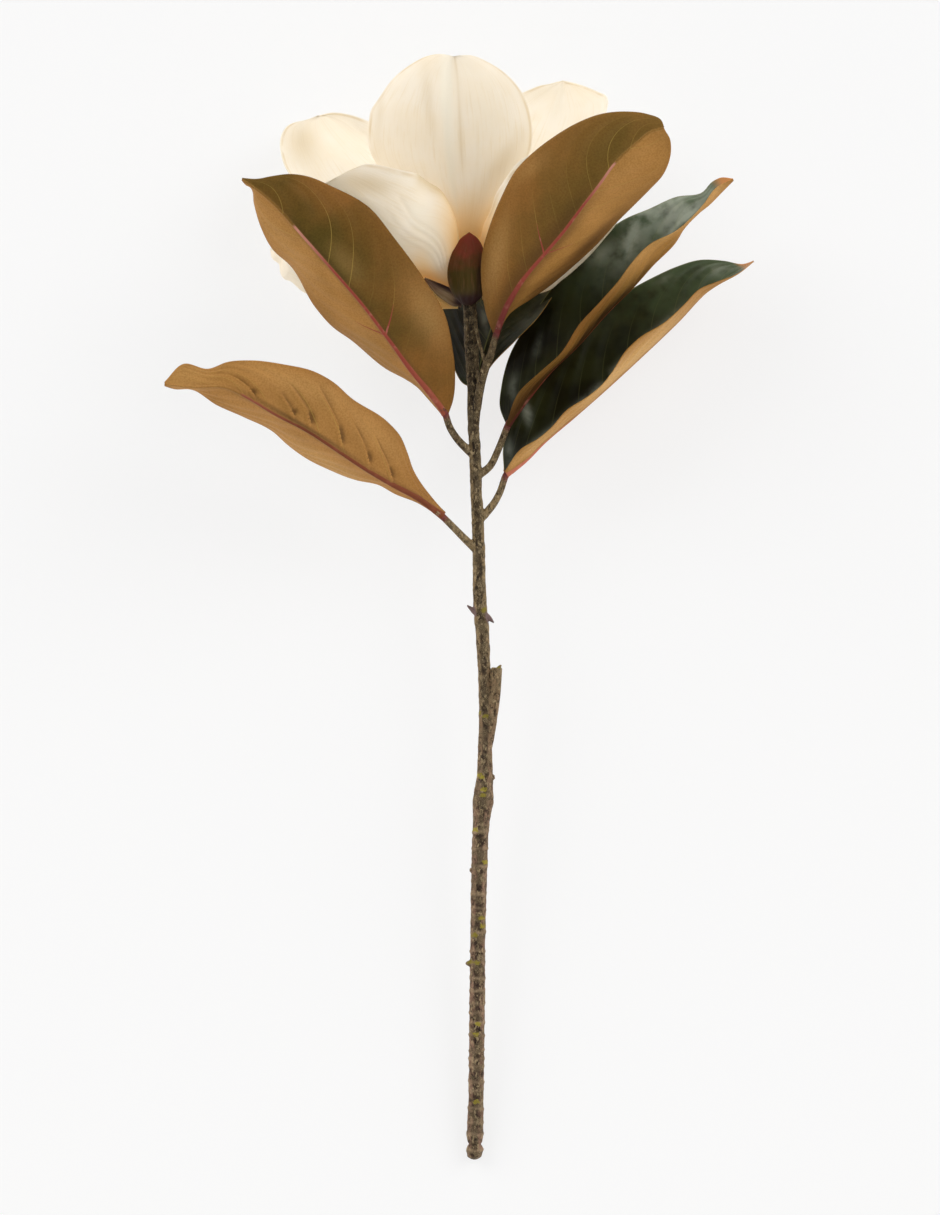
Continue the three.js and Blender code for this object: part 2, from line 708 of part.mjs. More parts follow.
function branchGroup() {

	const laid = new THREE.Group();
	laid.rotation.x = radians( LAY.tilt );
	laid.position.z = LAY.lift;
	laid.add( piece( 'stem', stemGeometry(), 'bark' ) );
	for ( const [ name, leaf ] of Object.entries( LEAVES ) ) {

		laid.add( piece( name, leafGeometry( leaf ), 'leaf' ) );

	}

	laid.add( bloomGroup() );
	laid.updateMatrixWorld( true );
	laid.traverse( ( child ) => child.isMesh && restOnSurface( child ) );
	const middle = new THREE.Box3().setFromObject( laid, true ).getCenter( new THREE.Vector3() );
	laid.position.x -= middle.x;
	laid.position.y -= middle.y;
	return laid;

}

const branch = new THREE.Group();
branch.add( branchGroup() );
branch.updateMatrixWorld( true );

export default branch;
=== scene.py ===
"""The looks of a cut magnolia branch that lies on a pale surface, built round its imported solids.

The branch is drawn in a frame of its own, in millimetres: X runs across the branch, Y along the stem
from its cut end to the bloom, and Z towards the viewer. One placement then lays it down.
"""

from __future__ import annotations

import logging
import math
from collections.abc import Sequence
from dataclasses import dataclass, field
from enum import Enum

import bpy
import numpy as np
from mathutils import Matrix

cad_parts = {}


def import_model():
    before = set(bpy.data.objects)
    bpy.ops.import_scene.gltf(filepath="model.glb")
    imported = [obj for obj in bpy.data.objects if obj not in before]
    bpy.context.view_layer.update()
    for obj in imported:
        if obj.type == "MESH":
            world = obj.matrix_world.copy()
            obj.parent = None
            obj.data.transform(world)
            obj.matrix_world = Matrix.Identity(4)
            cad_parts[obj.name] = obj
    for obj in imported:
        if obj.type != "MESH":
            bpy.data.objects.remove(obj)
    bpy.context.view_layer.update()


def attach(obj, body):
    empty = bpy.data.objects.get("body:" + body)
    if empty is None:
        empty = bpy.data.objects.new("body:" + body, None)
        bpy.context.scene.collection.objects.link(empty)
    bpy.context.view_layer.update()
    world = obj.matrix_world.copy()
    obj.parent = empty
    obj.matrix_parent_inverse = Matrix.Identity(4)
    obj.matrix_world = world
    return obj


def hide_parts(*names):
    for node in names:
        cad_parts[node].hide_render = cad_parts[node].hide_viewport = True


log = logging.getLogger("magnolia")

MM = 0.001
STEP = 0.004  # share of a line over which its direction is read

Pixel = tuple[float, float]
Place = tuple[float, float, float]
Colour = tuple[float, float, float]
Span = tuple[float, float]  # lowest and highest
Array = np.ndarray
Socket = bpy.types.NodeSocket
Material = bpy.types.Material
Thing = bpy.types.Object


class Slot(Enum):
    """The record's material slots."""

    BARK = "bark"
    LEAF = "leaf"
    PETAL = "petal"
    BRACT = "bract"
    CONE = "cone"
    STAMEN = "stamen"


# ---- where things are ----


@dataclass(frozen=True)
class Picture:
    """The photograph's frame and its camera, which looks straight down on the branch's own XY plane."""

    width: float = 940
    height: float = 1215
    scale: float = 0.68  # millimetres for a pixel in the plane of the stem
    distance: float = 3500  # from the camera to that plane
    foot: Pixel = (474.4, 1157.4)  # pixel of the stem's cut end

    def eye(self) -> tuple[float, float]:
        """Returns the X and Y of the camera in the branch's frame."""
        return ((self.width / 2 - self.foot[0]) * self.scale, (self.foot[1] - self.height / 2) * self.scale)

    def plane(self, pixels: Array, depth: Array) -> Array:
        """Turns pixels into X and Y in the branch's frame.

        Args:
            pixels: Points of the photograph, one in a row, y down.
            depth: Their Z in the branch's frame.

        Returns:
            X and Y of each point.
        """
        shrink = self.scale * (1 - np.asarray(depth) / self.distance)
        x0, y0 = self.eye()
        across = x0 + (pixels[..., 0] - self.width / 2) * shrink
        upward = y0 + (self.height / 2 - pixels[..., 1]) * shrink
        return np.stack([across, upward], -1)

    def pixels(self, points: Array) -> Array:
        """Turns points in the branch's frame into pixels of the photograph.

        Args:
            points: X, Y and Z of each point.

        Returns:
            The pixel of each point.
        """
        shrink = self.scale * (1 - points[..., 2] / self.distance)
        x0, y0 = self.eye()
        x = self.width / 2 + (points[..., 0] - x0) / shrink
        y = self.height / 2 - (points[..., 1] - y0) / shrink
        return np.stack([x, y], -1)


PICTURE = Picture()


def turned(axis: int, degrees: float) -> Array:
    """Makes a turn about one axis as a 4 by 4 matrix.

    Args:
        axis: 0, 1 or 2 for X, Y or Z.
        degrees: The angle.

    Returns:
        The matrix.
    """
    matrix = np.eye(4)
    first, second = [(1, 2), (2, 0), (0, 1)][axis]
    cosine, sine = math.cos(math.radians(degrees)), math.sin(math.radians(degrees))
    matrix[first, first] = matrix[second, second] = cosine
    matrix[first, second], matrix[second, first] = -sine, sine
    return matrix


def moved(offset: Place) -> Array:
    """Returns a shift by offset as a 4 by 4 matrix."""
    matrix = np.eye(4)
    matrix[:3, 3] = offset
    return matrix


def placed(matrix: Array, points: Array) -> Array:
    """Returns the points, X, Y and Z in the last axis, moved by a 4 by 4 matrix."""
    return points @ matrix[:3, :3].T + matrix[:3, 3]


@dataclass(frozen=True)
class Lay:
    """How the branch lies: its bloom end is raised on the back petals."""

    tilt: float = 6.73
    offset: Place = (8.880, -368.758, 4.93)

    def matrix(self) -> Array:
        """Returns the placement from the branch's frame to the row's, in millimetres."""
        return moved(self.offset) @ turned(0, self.tilt)

    def metres(self, points: Array) -> Array:
        """Returns points of the branch as they lie, in metres, with nothing under the surface."""
        laid = placed(self.matrix(), points)
        laid[..., 2] = np.maximum(laid[..., 2], 0)
        return laid * MM

    def raised(self, points: Array, least: float) -> Array:
        """Returns points of the branch lifted to at least that height over the surface, in millimetres."""
        matrix = self.matrix()
        short = np.maximum(least - placed(matrix, points)[..., 2], 0)
        return points + short[..., None] * matrix[2, :3]


LAY = Lay()


@dataclass(frozen=True)
class BloomSeat:
    """Where the bloom sits on the stem's end, and how it leans."""

    base: Place = (-3.5, 582, 0)
    aside: float = 4.5
    back: float = 8
    core_radius: float = 9
    clearance: float = 0.35

    def matrix(self) -> Array:
        """Returns the placement from the bloom's own frame, with Y along its axis."""
        return moved(self.base) @ turned(0, -self.back) @ turned(2, self.aside)


BLOOM = BloomSeat()


# ---- numbers along lines ----


def along(stations: Sequence[float] | Array, t: Array) -> Array:
    """Smooth values through equally spaced stations.

    Args:
        stations: Numbers, or points in rows.
        t: Shares of the way, from 0 to 1.

    Returns:
        The value or point at each share.
    """
    table = np.asarray(stations, float)
    t = np.asarray(t, float)
    last = len(table) - 1
    place = np.clip(t, 0, 1) * last
    index = np.minimum(place.astype(int), last - 1)
    f = place - index
    a, b, c, d = (table[np.clip(index + k, 0, last)] for k in (-1, 0, 1, 2))
    if table.ndim > 1:
        f = f[..., None]
    bend = 2 * a - 5 * b + 4 * c - d
    turn = 3 * b - a - 3 * c + d
    return 0.5 * (2 * b + (c - a) * f + bend * f**2 + turn * f**3)


def traced(points: Sequence[Sequence[float]], share: Array) -> Array:
    """Smooth points on a line through unequally spaced ones.

    Args:
        points: The line's points in order.
        share: Shares of the line's length, from 0 to 1.

    Returns:
        The point at each share.
    """
    table = np.asarray(points, float)
    reach = np.concatenate([[0], np.cumsum(np.linalg.norm(np.diff(table, axis=0), axis=1))])
    slope = np.gradient(table, reach, axis=0)
    at = np.clip(share, 0, 1) * reach[-1]
    index = np.clip(np.searchsorted(reach, at, side="right") - 1, 0, len(table) - 2)
    span = (reach[index + 1] - reach[index])[..., None]
    f = ((at - reach[index])[..., None]) / span
    start, end = table[index], table[index + 1]
    leave, arrive = slope[index] * span, slope[index + 1] * span
    bend = 3 * (end - start) - 2 * leave - arrive
    turn = 2 * (start - end) + leave + arrive
    return start + leave * f + bend * f**2 + turn * f**3


def length_shares(points: Array) -> Array:
    """Returns how far along the line each of its points is, as a share of its length."""
    steps = np.linalg.norm(np.diff(points, axis=0), axis=1)
    reach = np.concatenate([[0], np.cumsum(steps)])
    return reach / reach[-1]


def unit(vectors: Array) -> Array:
    """Returns the vectors of the last axis, each one long."""
    return vectors / np.maximum(np.linalg.norm(vectors, axis=-1, keepdims=True), 1e-9)


def smooth_step(low: float, high: float, value: Array) -> Array:
    """Returns 0 below low, 1 above high, and a smooth rise between."""
    f = np.clip((value - low) / (high - low), 0, 1)
    return f * f * (3 - 2 * f)


class Lumps:
    """Smooth seeded noise in space, from about -1 to 1."""

    SIDE = 32

    def __init__(self, seed: int) -> None:
        """Fills the lattice with seeded values."""
        self.values = np.random.default_rng(seed).uniform(-1, 1, (self.SIDE,) * 3)

    def at(self, points: Array, size: float) -> Array:
        """Reads the noise.

        Args:
            points: X, Y and Z in the last axis.
            size: The distance over which the noise changes.

        Returns:
            One value for each point.
        """
        place = points / size
        cell = np.floor(place).astype(int)
        f = place - cell
        f = f * f * (3 - 2 * f)
        total = np.zeros(points.shape[:-1])
        for corner in np.ndindex(2, 2, 2):
            x, y, z = ((cell[..., k] + corner[k]) % self.SIDE for k in range(3))
            weight = np.ones(points.shape[:-1])
            for k in range(3):
                weight = weight * (f[..., k] if corner[k] else 1 - f[..., k])
            total += weight * self.values[x, y, z]
        return total


# ---- meshes ----


@dataclass
class Heap:
    """Points, faces and named values that are gathered into one mesh."""

    points: list[Array] = field(default_factory=list)
    faces: list[Array] = field(default_factory=list)
    finishes: list[Array] = field(default_factory=list)
    values: dict[str, list[Array]] = field(default_factory=dict)
    count: int = 0

    def add(self, points: Array, faces: Array, finish: int | Array = 0, **values: Array) -> None:
        """Adds one shape.

        Args:
            points: Its points, in the branch's frame.
            faces: Its four-cornered faces, as numbers of its own points.
            finish: Number of their material, one for all or one for each.
            values: A number for each point, under a name that a material reads.
        """
        self.points.append(points)
        self.faces.append(faces + self.count)
        self.finishes.append(np.broadcast_to(finish, len(faces)))
        for name, value in values.items():
            self.values.setdefault(name, []).append(np.broadcast_to(value, len(points)))
        self.count += len(points)

    def corners(self) -> list[tuple[int, ...]]:
        """Returns each face's points, with none named twice."""
        return [tuple(dict.fromkeys(face)) for face in np.concatenate(self.faces).tolist()]

    def build(self, name: str, materials: Sequence[Material]) -> Thing:
        """Makes the object.

        Args:
            name: Its name.
            materials: Its materials, in the order of the finish numbers.

        Returns:
            The object, smooth shaded and in the scene.
        """
        mesh = bpy.data.meshes.new(name)
        mesh.from_pydata(LAY.metres(np.concatenate(self.points)).tolist(), [], self.corners())
        for value_name, value in self.values.items():
            attribute = mesh.attributes.new(value_name, "FLOAT", "POINT")
            attribute.data.foreach_set("value", np.concatenate(value).astype(np.float32))
        for material in materials:
            mesh.materials.append(material)
        mesh.polygons.foreach_set("material_index", np.concatenate(self.finishes).astype(np.int32))
        mesh.polygons.foreach_set("use_smooth", np.ones(len(mesh.polygons), bool))
        mesh.update()
        made = bpy.data.objects.new(name, mesh)
        bpy.context.scene.collection.objects.link(made)
        return made


def grid_faces(rows: int, columns: int, closed: bool = False) -> Array:
    """Faces of a grid of points that are counted row by row.

    Args:
        rows: How many rows of points.
        columns: How many points in a row.
        closed: Whether the last column joins the first.

    Returns:
        Four point numbers for each face.
    """
    i, j = np.meshgrid(np.arange(rows - 1), np.arange(columns if closed else columns - 1), indexing="ij")
    after = (j + 1) % columns
    corners = [i * columns + j, i * columns + after, (i + 1) * columns + after, (i + 1) * columns + j]
    return np.stack([c.ravel() for c in corners], 1)


def grid_normals(grid: Array) -> Array:
    """Returns where a grid of points faces at each of them."""
    return unit(np.cross(np.gradient(grid, axis=1), np.gradient(grid, axis=0)))


@dataclass(frozen=True)
class Rod:
    """A round rod along a path, with a radius at equal stations and closed ends."""

    path: Sequence[Place]
    radii: Sequence[float]
    steps: int = 24
    sides: int = 16
    flat: float = 1  # how thick it is, as a share of how wide

    def frame(self) -> tuple[Array, Array, Array, Array]:
        """Returns the shares of the way, the middle line, and two directions across it."""
        t = np.linspace(0, 1, self.steps + 1)
        middle = along(self.path, t)
        ahead = unit(along(self.path, np.minimum(t + STEP, 1)) - along(self.path, np.maximum(t - STEP, 0)))
        across = np.zeros_like(ahead)
        last = np.array([1.0, 0, 0])
        if abs(ahead[0, 0]) > 0.9:
            last = np.array([0, 0, 1.0])
        for row, direction in enumerate(ahead):
            last = last - direction * (last @ direction)
            last = last / np.linalg.norm(last)
            across[row] = last
        return t, middle, across, np.cross(ahead, across)

    def mesh(self) -> tuple[Array, Array, Array]:
        """Returns its points, its faces and each point's share of the way."""
        t, middle, across, up = self.frame()
        turn = 2 * np.pi * (np.arange(self.sides) + 0.5) / self.sides
        radius = along(self.radii, t)[:, None, None]
        ring = across[:, None] * np.cos(turn)[None, :, None]
        ring = ring + up[:, None] * np.sin(turn)[None, :, None] * self.flat
        points = (middle[:, None] + ring * radius).reshape(-1, 3)
        faces = grid_faces(len(t), self.sides, closed=True)
        ends = np.array([middle[0], middle[-1]])
        first, last = len(points), len(points) + 1
        k = np.arange(self.sides)
        after = (k + 1) % self.sides
        top = (len(t) - 1) * self.sides
        low = np.stack([np.full_like(k, first), after, k, k], 1)
        high = np.stack([np.full_like(k, last), top + k, top + after, top + after], 1)
        share = np.concatenate([np.repeat(t, self.sides), [0, 1]])
        return np.concatenate([points, ends]), np.concatenate([faces, low, high]), share


# ---- thin blades: leaves, petals and bud scales ----


@dataclass(frozen=True)
class Nudge:
    """A small shift of what shows near one pixel of the photograph."""

    at: Pixel
    by: Pixel
    reach: float

    def apply(self, points: Array) -> Array:
        """Returns the points, in the branch's frame, with those near the pixel shifted."""
        away = PICTURE.pixels(points) - np.array(self.at)
        weight = np.exp(-np.sum(away**2, -1) / self.reach**2)
        shifted = points.copy()
        shifted[..., 0] += self.by[0] * PICTURE.scale * weight
        shifted[..., 1] -= self.by[1] * PICTURE.scale * weight
        return shifted


@dataclass(frozen=True)
class Crease:
    """A ridge or a furrow in a blade, from one place to another.

    Places are (across, length): -1 to 1 from edge to edge, and 0 to 1 from foot to tip.
    """

    start: Pixel
    end: Pixel
    height: float  # millimetres towards the upper face
    width: float = 2  # millimetres to each side
    side: int = 0  # 1 or -1: it lies only to the right or left of its line and breaks off sharply there

    def lift(self, s: Array, t: Array, half_width: float, length: float) -> Array:
        """How far the crease lifts the blade.

        Args:
            s: Places across.
            t: Places along.
            half_width: Millimetres for one unit across.
            length: Millimetres for one unit along.

        Returns:
            Millimetres towards the upper face.
        """
        scale = np.array([half_width, length])
        start, end = np.array(self.start) * scale, np.array(self.end) * scale
        run = end - start
        place = np.stack(np.broadcast_arrays(s * half_width, t * length), -1)
        share = np.clip((place - start) @ run / (run @ run), 0, 1)
        offset = place - start - share[..., None] * run
        away = np.linalg.norm(offset, axis=-1)
        taper = np.sin(np.pi * np.clip(share, 0.02, 0.98)) ** 0.5
        lift = self.height * np.exp(-((away / self.width) ** 2)) * taper
        if self.side:
            beside = (offset[..., 0] * run[1] - offset[..., 1] * run[0]) / np.linalg.norm(run)
            lift = lift * smooth_step(-0.5, 0.5, self.side * beside)
        return lift


@dataclass(frozen=True)
class Fold:
    """A strip along one edge that bends away from the rest of its blade."""

    side: int
    start: float  # share of the half at which the strip begins
    lift: float  # millimetres by which the edge is moved towards the upper face
    reach: Span = (0.1, 0.9)  # part of the blade's length that is folded

    def raised(self, s: Array, t: Array) -> Array:
        """Returns how far the strip lifts the blade, in millimetres."""
        low, high = self.reach
        window = smooth_step(low, low + 0.15, t) * (1 - smooth_step(high - 0.2, high, t))
        share = np.clip((s * self.side - self.start) / (1 - self.start), 0, 1)
        return self.lift * share**1.3 * window


@dataclass(frozen=True)
class Patch:
    """A long soft patch, seen at one pixel of the photograph, where a blade is painted paler or darker:
    mostly painted highlights and painted shade, in places the blade's own tone.
    """

    x: float
    y: float
    long: float  # pixels
    wide: float
    turn: float = 0  # degrees from the photograph's X, clockwise as seen
    amount: float = 1  # above 0 for paler, below 0 for darker

    def share(self, points: Array) -> Array:
        """Returns how much of it there is at points in the branch's frame."""
        away = PICTURE.pixels(points) - np.array((self.x, self.y))
        cosine, sine = math.cos(math.radians(self.turn)), math.sin(math.radians(self.turn))
        along_it = (away[..., 0] * cosine + away[..., 1] * sine) / self.long
        across_it = (away[..., 1] * cosine - away[..., 0] * sine) / self.wide
        return self.amount * np.exp(-(along_it**2) - across_it**2)


def tinted(*rows: Sequence[float]) -> list[Patch]:
    """Returns the patch that each row of numbers describes."""
    return [Patch(*row) for row in rows]


def run(*numbers: float) -> list[Pixel]:
    """Returns the points whose X and Y are given in turn."""
    return list(zip(numbers[::2], numbers[1::2]))


@dataclass(frozen=True)
class Lines:
    """A blade's lines in the photograph, from foot to tip: its two edges, and its middle if that shows."""

    right: Sequence[Pixel]
    left: Sequence[Pixel]
    middle: Sequence[Pixel] | None = None

    def fit(self, grid: Array, s: Array) -> Array:
        """Shifts a grid across the line of sight until its lines lie on the photograph's.

        Args:
            grid: Points in the branch's frame, in rows from foot to tip.
            s: Places across, one for each column.

        Returns:
            The shifted grid.
        """
        left = self.shift(grid[:, 0], self.left)
        right = self.shift(grid[:, -1], self.right)
        middle = (left + right) / 2
        if self.middle is not None:
            middle = self.shift(grid[:, len(s) // 2], self.middle)
        share = np.abs(s)[None, :, None]
        edge = np.where(s[None, :, None] < 0, left[:, None], right[:, None])
        fitted = grid.copy()
        fitted[..., :2] += middle[:, None] * (1 - share) + edge * share
        return fitted

    @staticmethod
    def shift(points: Array, line: Sequence[Pixel]) -> Array:
        """Returns the shift that brings each point of a blade's line to the photograph's."""
        wanted = traced(line, length_shares(PICTURE.pixels(points)))
        return PICTURE.plane(wanted, points[:, 2]) - points[:, :2]


# Each blade's lines.
TRACES: dict[str, Lines] = {
    "leaf_upper_left": Lines(
        middle=run(
            445, 413, 428, 391, 411, 370, 394, 346, 380, 327, 364, 306, 333, 270, 299, 231.5, 282, 212, 264,
            195, 249, 184, 242, 179.5,
        ),
        left=run(
            447.5, 416, 453, 400, 455, 375, 452, 346, 445, 315, 425, 280.5, 395, 239, 368, 206.5, 333, 187,
            306, 176, 290, 174, 273, 176, 256, 179, 242, 178,
        ),
        right=run(
            443, 416, 430, 401, 416, 385.5, 385, 368, 350, 339, 333, 327, 316, 308, 290, 265, 273, 249.5,
            261, 227, 254, 203, 251, 187.5, 246, 185, 242.5, 181,
        ),
    ),
    "leaf_lower_left": Lines(
        middle=run(
            442, 516, 418, 498.5, 391, 484, 364, 468, 337.5, 450.5, 306, 430, 275, 414, 250, 399, 228, 388,
            190, 387, 164.5, 384,
        ),
        left=run(
            445, 512.5, 433.5, 499.5, 413, 469.5, 407, 452, 400, 436, 387, 421.5, 351, 398, 333, 382, 315,
            372, 284, 364.6, 250, 360.5, 228, 362, 208, 369, 183.5, 364, 164.5, 382,
        ),
        right=run(
            442, 518.6, 418, 503, 395.5, 494, 375, 483, 355, 479.5, 329, 469.5, 306, 458, 288, 445, 273,
            431.5, 244, 417, 217, 405, 190, 389, 175, 389, 164.5, 386,
        ),
    ),
    "leaf_upper_right": Lines(
        middle=run(
            497, 332, 506, 308, 521, 282, 545, 253, 562, 233, 584, 204, 601, 182, 614, 164, 635, 144, 652,
            131, 664, 128,
        ),
        right=run(
            494, 335, 487.5, 318, 482, 289, 482, 255, 489, 228.5, 501.5, 197, 516, 170, 535, 151, 555, 136,
            577, 123, 601, 114, 627.5, 111.6, 647, 114, 661.5, 120.6, 664, 127,
        ),
        left=run(
            498, 334, 510, 313, 531, 299, 552, 284, 572, 267, 596, 245, 615, 224, 635, 204, 649, 190, 664,
            173, 671, 148.5, 670, 139, 664, 129,
        ),
    ),
    "leaf_middle_right": Lines(
        middle=run(
            508, 425, 526, 400.5, 550, 371, 577, 345, 606, 313, 635, 284, 652, 265, 674, 243, 688, 221, 709,
            204, 722, 191, 733, 180,
        ),
        right=run(
            506, 425, 518.5, 393, 538, 374, 562, 352, 579, 325, 601, 301, 620, 279, 630, 265, 649, 245, 676,
            231, 704, 204, 716, 188, 733, 179,
        ),
        left=run(
            506, 424, 500, 408, 501.5, 386, 509, 357, 530, 320, 555, 284, 579, 260, 601, 236, 625, 219, 649,
            209, 676, 197, 703, 192, 712, 182, 721, 177.6, 733, 178.6,
        ),
    ),
    "leaf_lower_right": Lines(
        middle=run(
            506, 475, 523, 462, 543, 442, 572, 417.5, 606, 388, 640, 357, 676, 323, 712, 287, 735, 273,
            753.6, 261,
        ),
        right=run(
            505, 471, 521, 449, 538, 439, 552, 427, 567, 410, 586, 398, 601, 386, 613, 371, 625, 352, 640,
            337.5, 664, 323, 683, 306, 700, 289, 717, 282, 739, 273, 753.6, 261.5,
        ),
        left=run(
            504, 470, 503, 449, 507, 428, 520, 400, 548, 365, 585, 325, 635, 287, 654, 277, 676, 267, 700,
            260, 724.5, 261, 744, 264, 753.6, 261,
        ),
    ),
    "leaf_back": Lines(
        middle=run(475, 387, 486, 345, 500, 305, 520, 265, 540, 235, 560, 215),
        right=run(478, 387, 491, 366, 516, 340, 539, 316, 555, 293, 570, 274, 580, 255, 578, 235, 560, 215),
        left=run(472, 387, 464, 384, 454, 368, 446, 340, 441, 308, 448, 270, 480, 235, 520, 215, 560, 215),
    ),
    "petal_front": Lines(
        right=run(
            460, 278, 452, 262, 440, 243, 425, 222, 408, 203, 391, 185, 378, 166, 370, 150, 368, 135, 369,
            122, 371, 111, 379, 98.5, 394, 78, 412, 64, 429, 56, 438, 54.6, 446, 55.2, 453, 57.5,
        ),
        middle=run(466.5, 278, 464, 250, 462, 212, 456, 160, 454, 117, 453, 57.5),
        left=run(
            473, 278, 478, 262, 486, 243, 496, 222, 508, 200, 519, 178, 526, 162, 531, 146, 532, 131, 530.5,
            117.5, 522, 93, 508, 76, 491, 64, 470, 55.5, 460, 55.8, 453, 57.5,
        ),
    ),
    "petal_front_left": Lines(
        right=run(
            454, 292, 446, 288, 434, 285, 420, 281, 404, 275, 380, 266, 345, 258, 318, 250, 300, 235, 298,
            210, 305, 190, 312, 184,
        ),
        left=run(
            462, 285, 463, 262, 463.5, 240, 462, 222, 458, 208, 453, 197, 446, 188.5, 435, 182.5, 416, 174,
            396, 169, 379, 165, 366, 164, 352, 169, 339, 176, 328, 183, 312, 184,
        ),
    ),
    "petal_back_left": Lines(
        right=run(
            462, 292, 462, 240, 458, 200, 450, 175, 438, 158, 420, 145, 400, 136, 384, 129, 368, 121.5, 358,
            117, 346.5, 114, 333, 112.6, 317.5, 116,
        ),
        left=run(
            455, 292, 440, 270, 420, 250, 395, 238, 355, 218, 320, 200, 300, 187, 288, 172, 284, 164, 281.5,
            155, 280, 145.5, 281.5, 135, 286, 127, 294, 122.5, 304, 120.5, 317.5, 116,
        ),
    ),
    "petal_back_right": Lines(
        right=run(
            482, 288, 497, 260, 520, 228, 549, 200, 575, 170, 595, 145, 603, 125, 606, 112, 608, 103, 607,
            97, 598, 92, 586, 87, 573, 83, 563, 81,
        ),
        left=run(
            476, 291, 468, 265, 460, 220, 458, 180, 464, 150, 478, 125, 497, 105, 512, 97, 524, 92, 531, 89,
            540, 85.5, 549, 84, 556, 82, 563, 81,
        ),
    ),
    "petal_low_left": Lines(
        right=run(456, 300, 440, 290, 410, 277, 370, 268, 330, 262, 300, 257, 285, 254, 276, 251, 271, 249),
        middle=run(
            458, 308, 434, 308, 402, 303, 360, 298, 325, 296, 303, 291, 296, 285, 291.5, 281, 284, 278, 281,
            272, 280, 264, 273, 258, 271, 249,
        ),
        left=run(460, 297, 430, 283, 400, 270, 365, 255, 330, 246, 300, 241, 284, 242, 271, 249),
    ),
    "petal_low_right": Lines(
        right=run(482, 296, 510, 280, 540, 262, 570, 243, 595, 225, 612, 212, 622, 205),
        middle=run(
            482, 299, 510, 298, 535, 294, 551, 288, 559, 281, 567, 275, 586, 257.5, 604, 236, 616, 222, 622,
            205,
        ),
        left=run(484, 298, 515, 292, 545, 281, 568, 268, 588, 250, 606, 231, 618, 215, 622, 205),
    ),
    "bract_front": Lines(
        right=run(461, 303, 453.5, 295, 449, 285, 447.5, 272, 450, 259, 455, 247, 461.5, 238, 469.5, 232.5),
        middle=run(468, 305, 468, 285, 467, 260, 469.5, 232.5),
        left=run(
            475, 303, 482, 296, 484.5, 285, 485, 270, 484.5, 257, 482.5, 247, 477.5, 238.5, 469.5, 232.5,
        ),
    ),
    "bract_side": Lines(
        right=run(461, 307, 452, 306, 446, 303, 439, 298, 432, 290, 425, 278.5),
        middle=run(462, 303, 450, 296, 438, 288, 425, 278),
        left=run(463, 298, 455, 291, 447, 286.5, 436.5, 282, 425, 277.5),
    ),
}


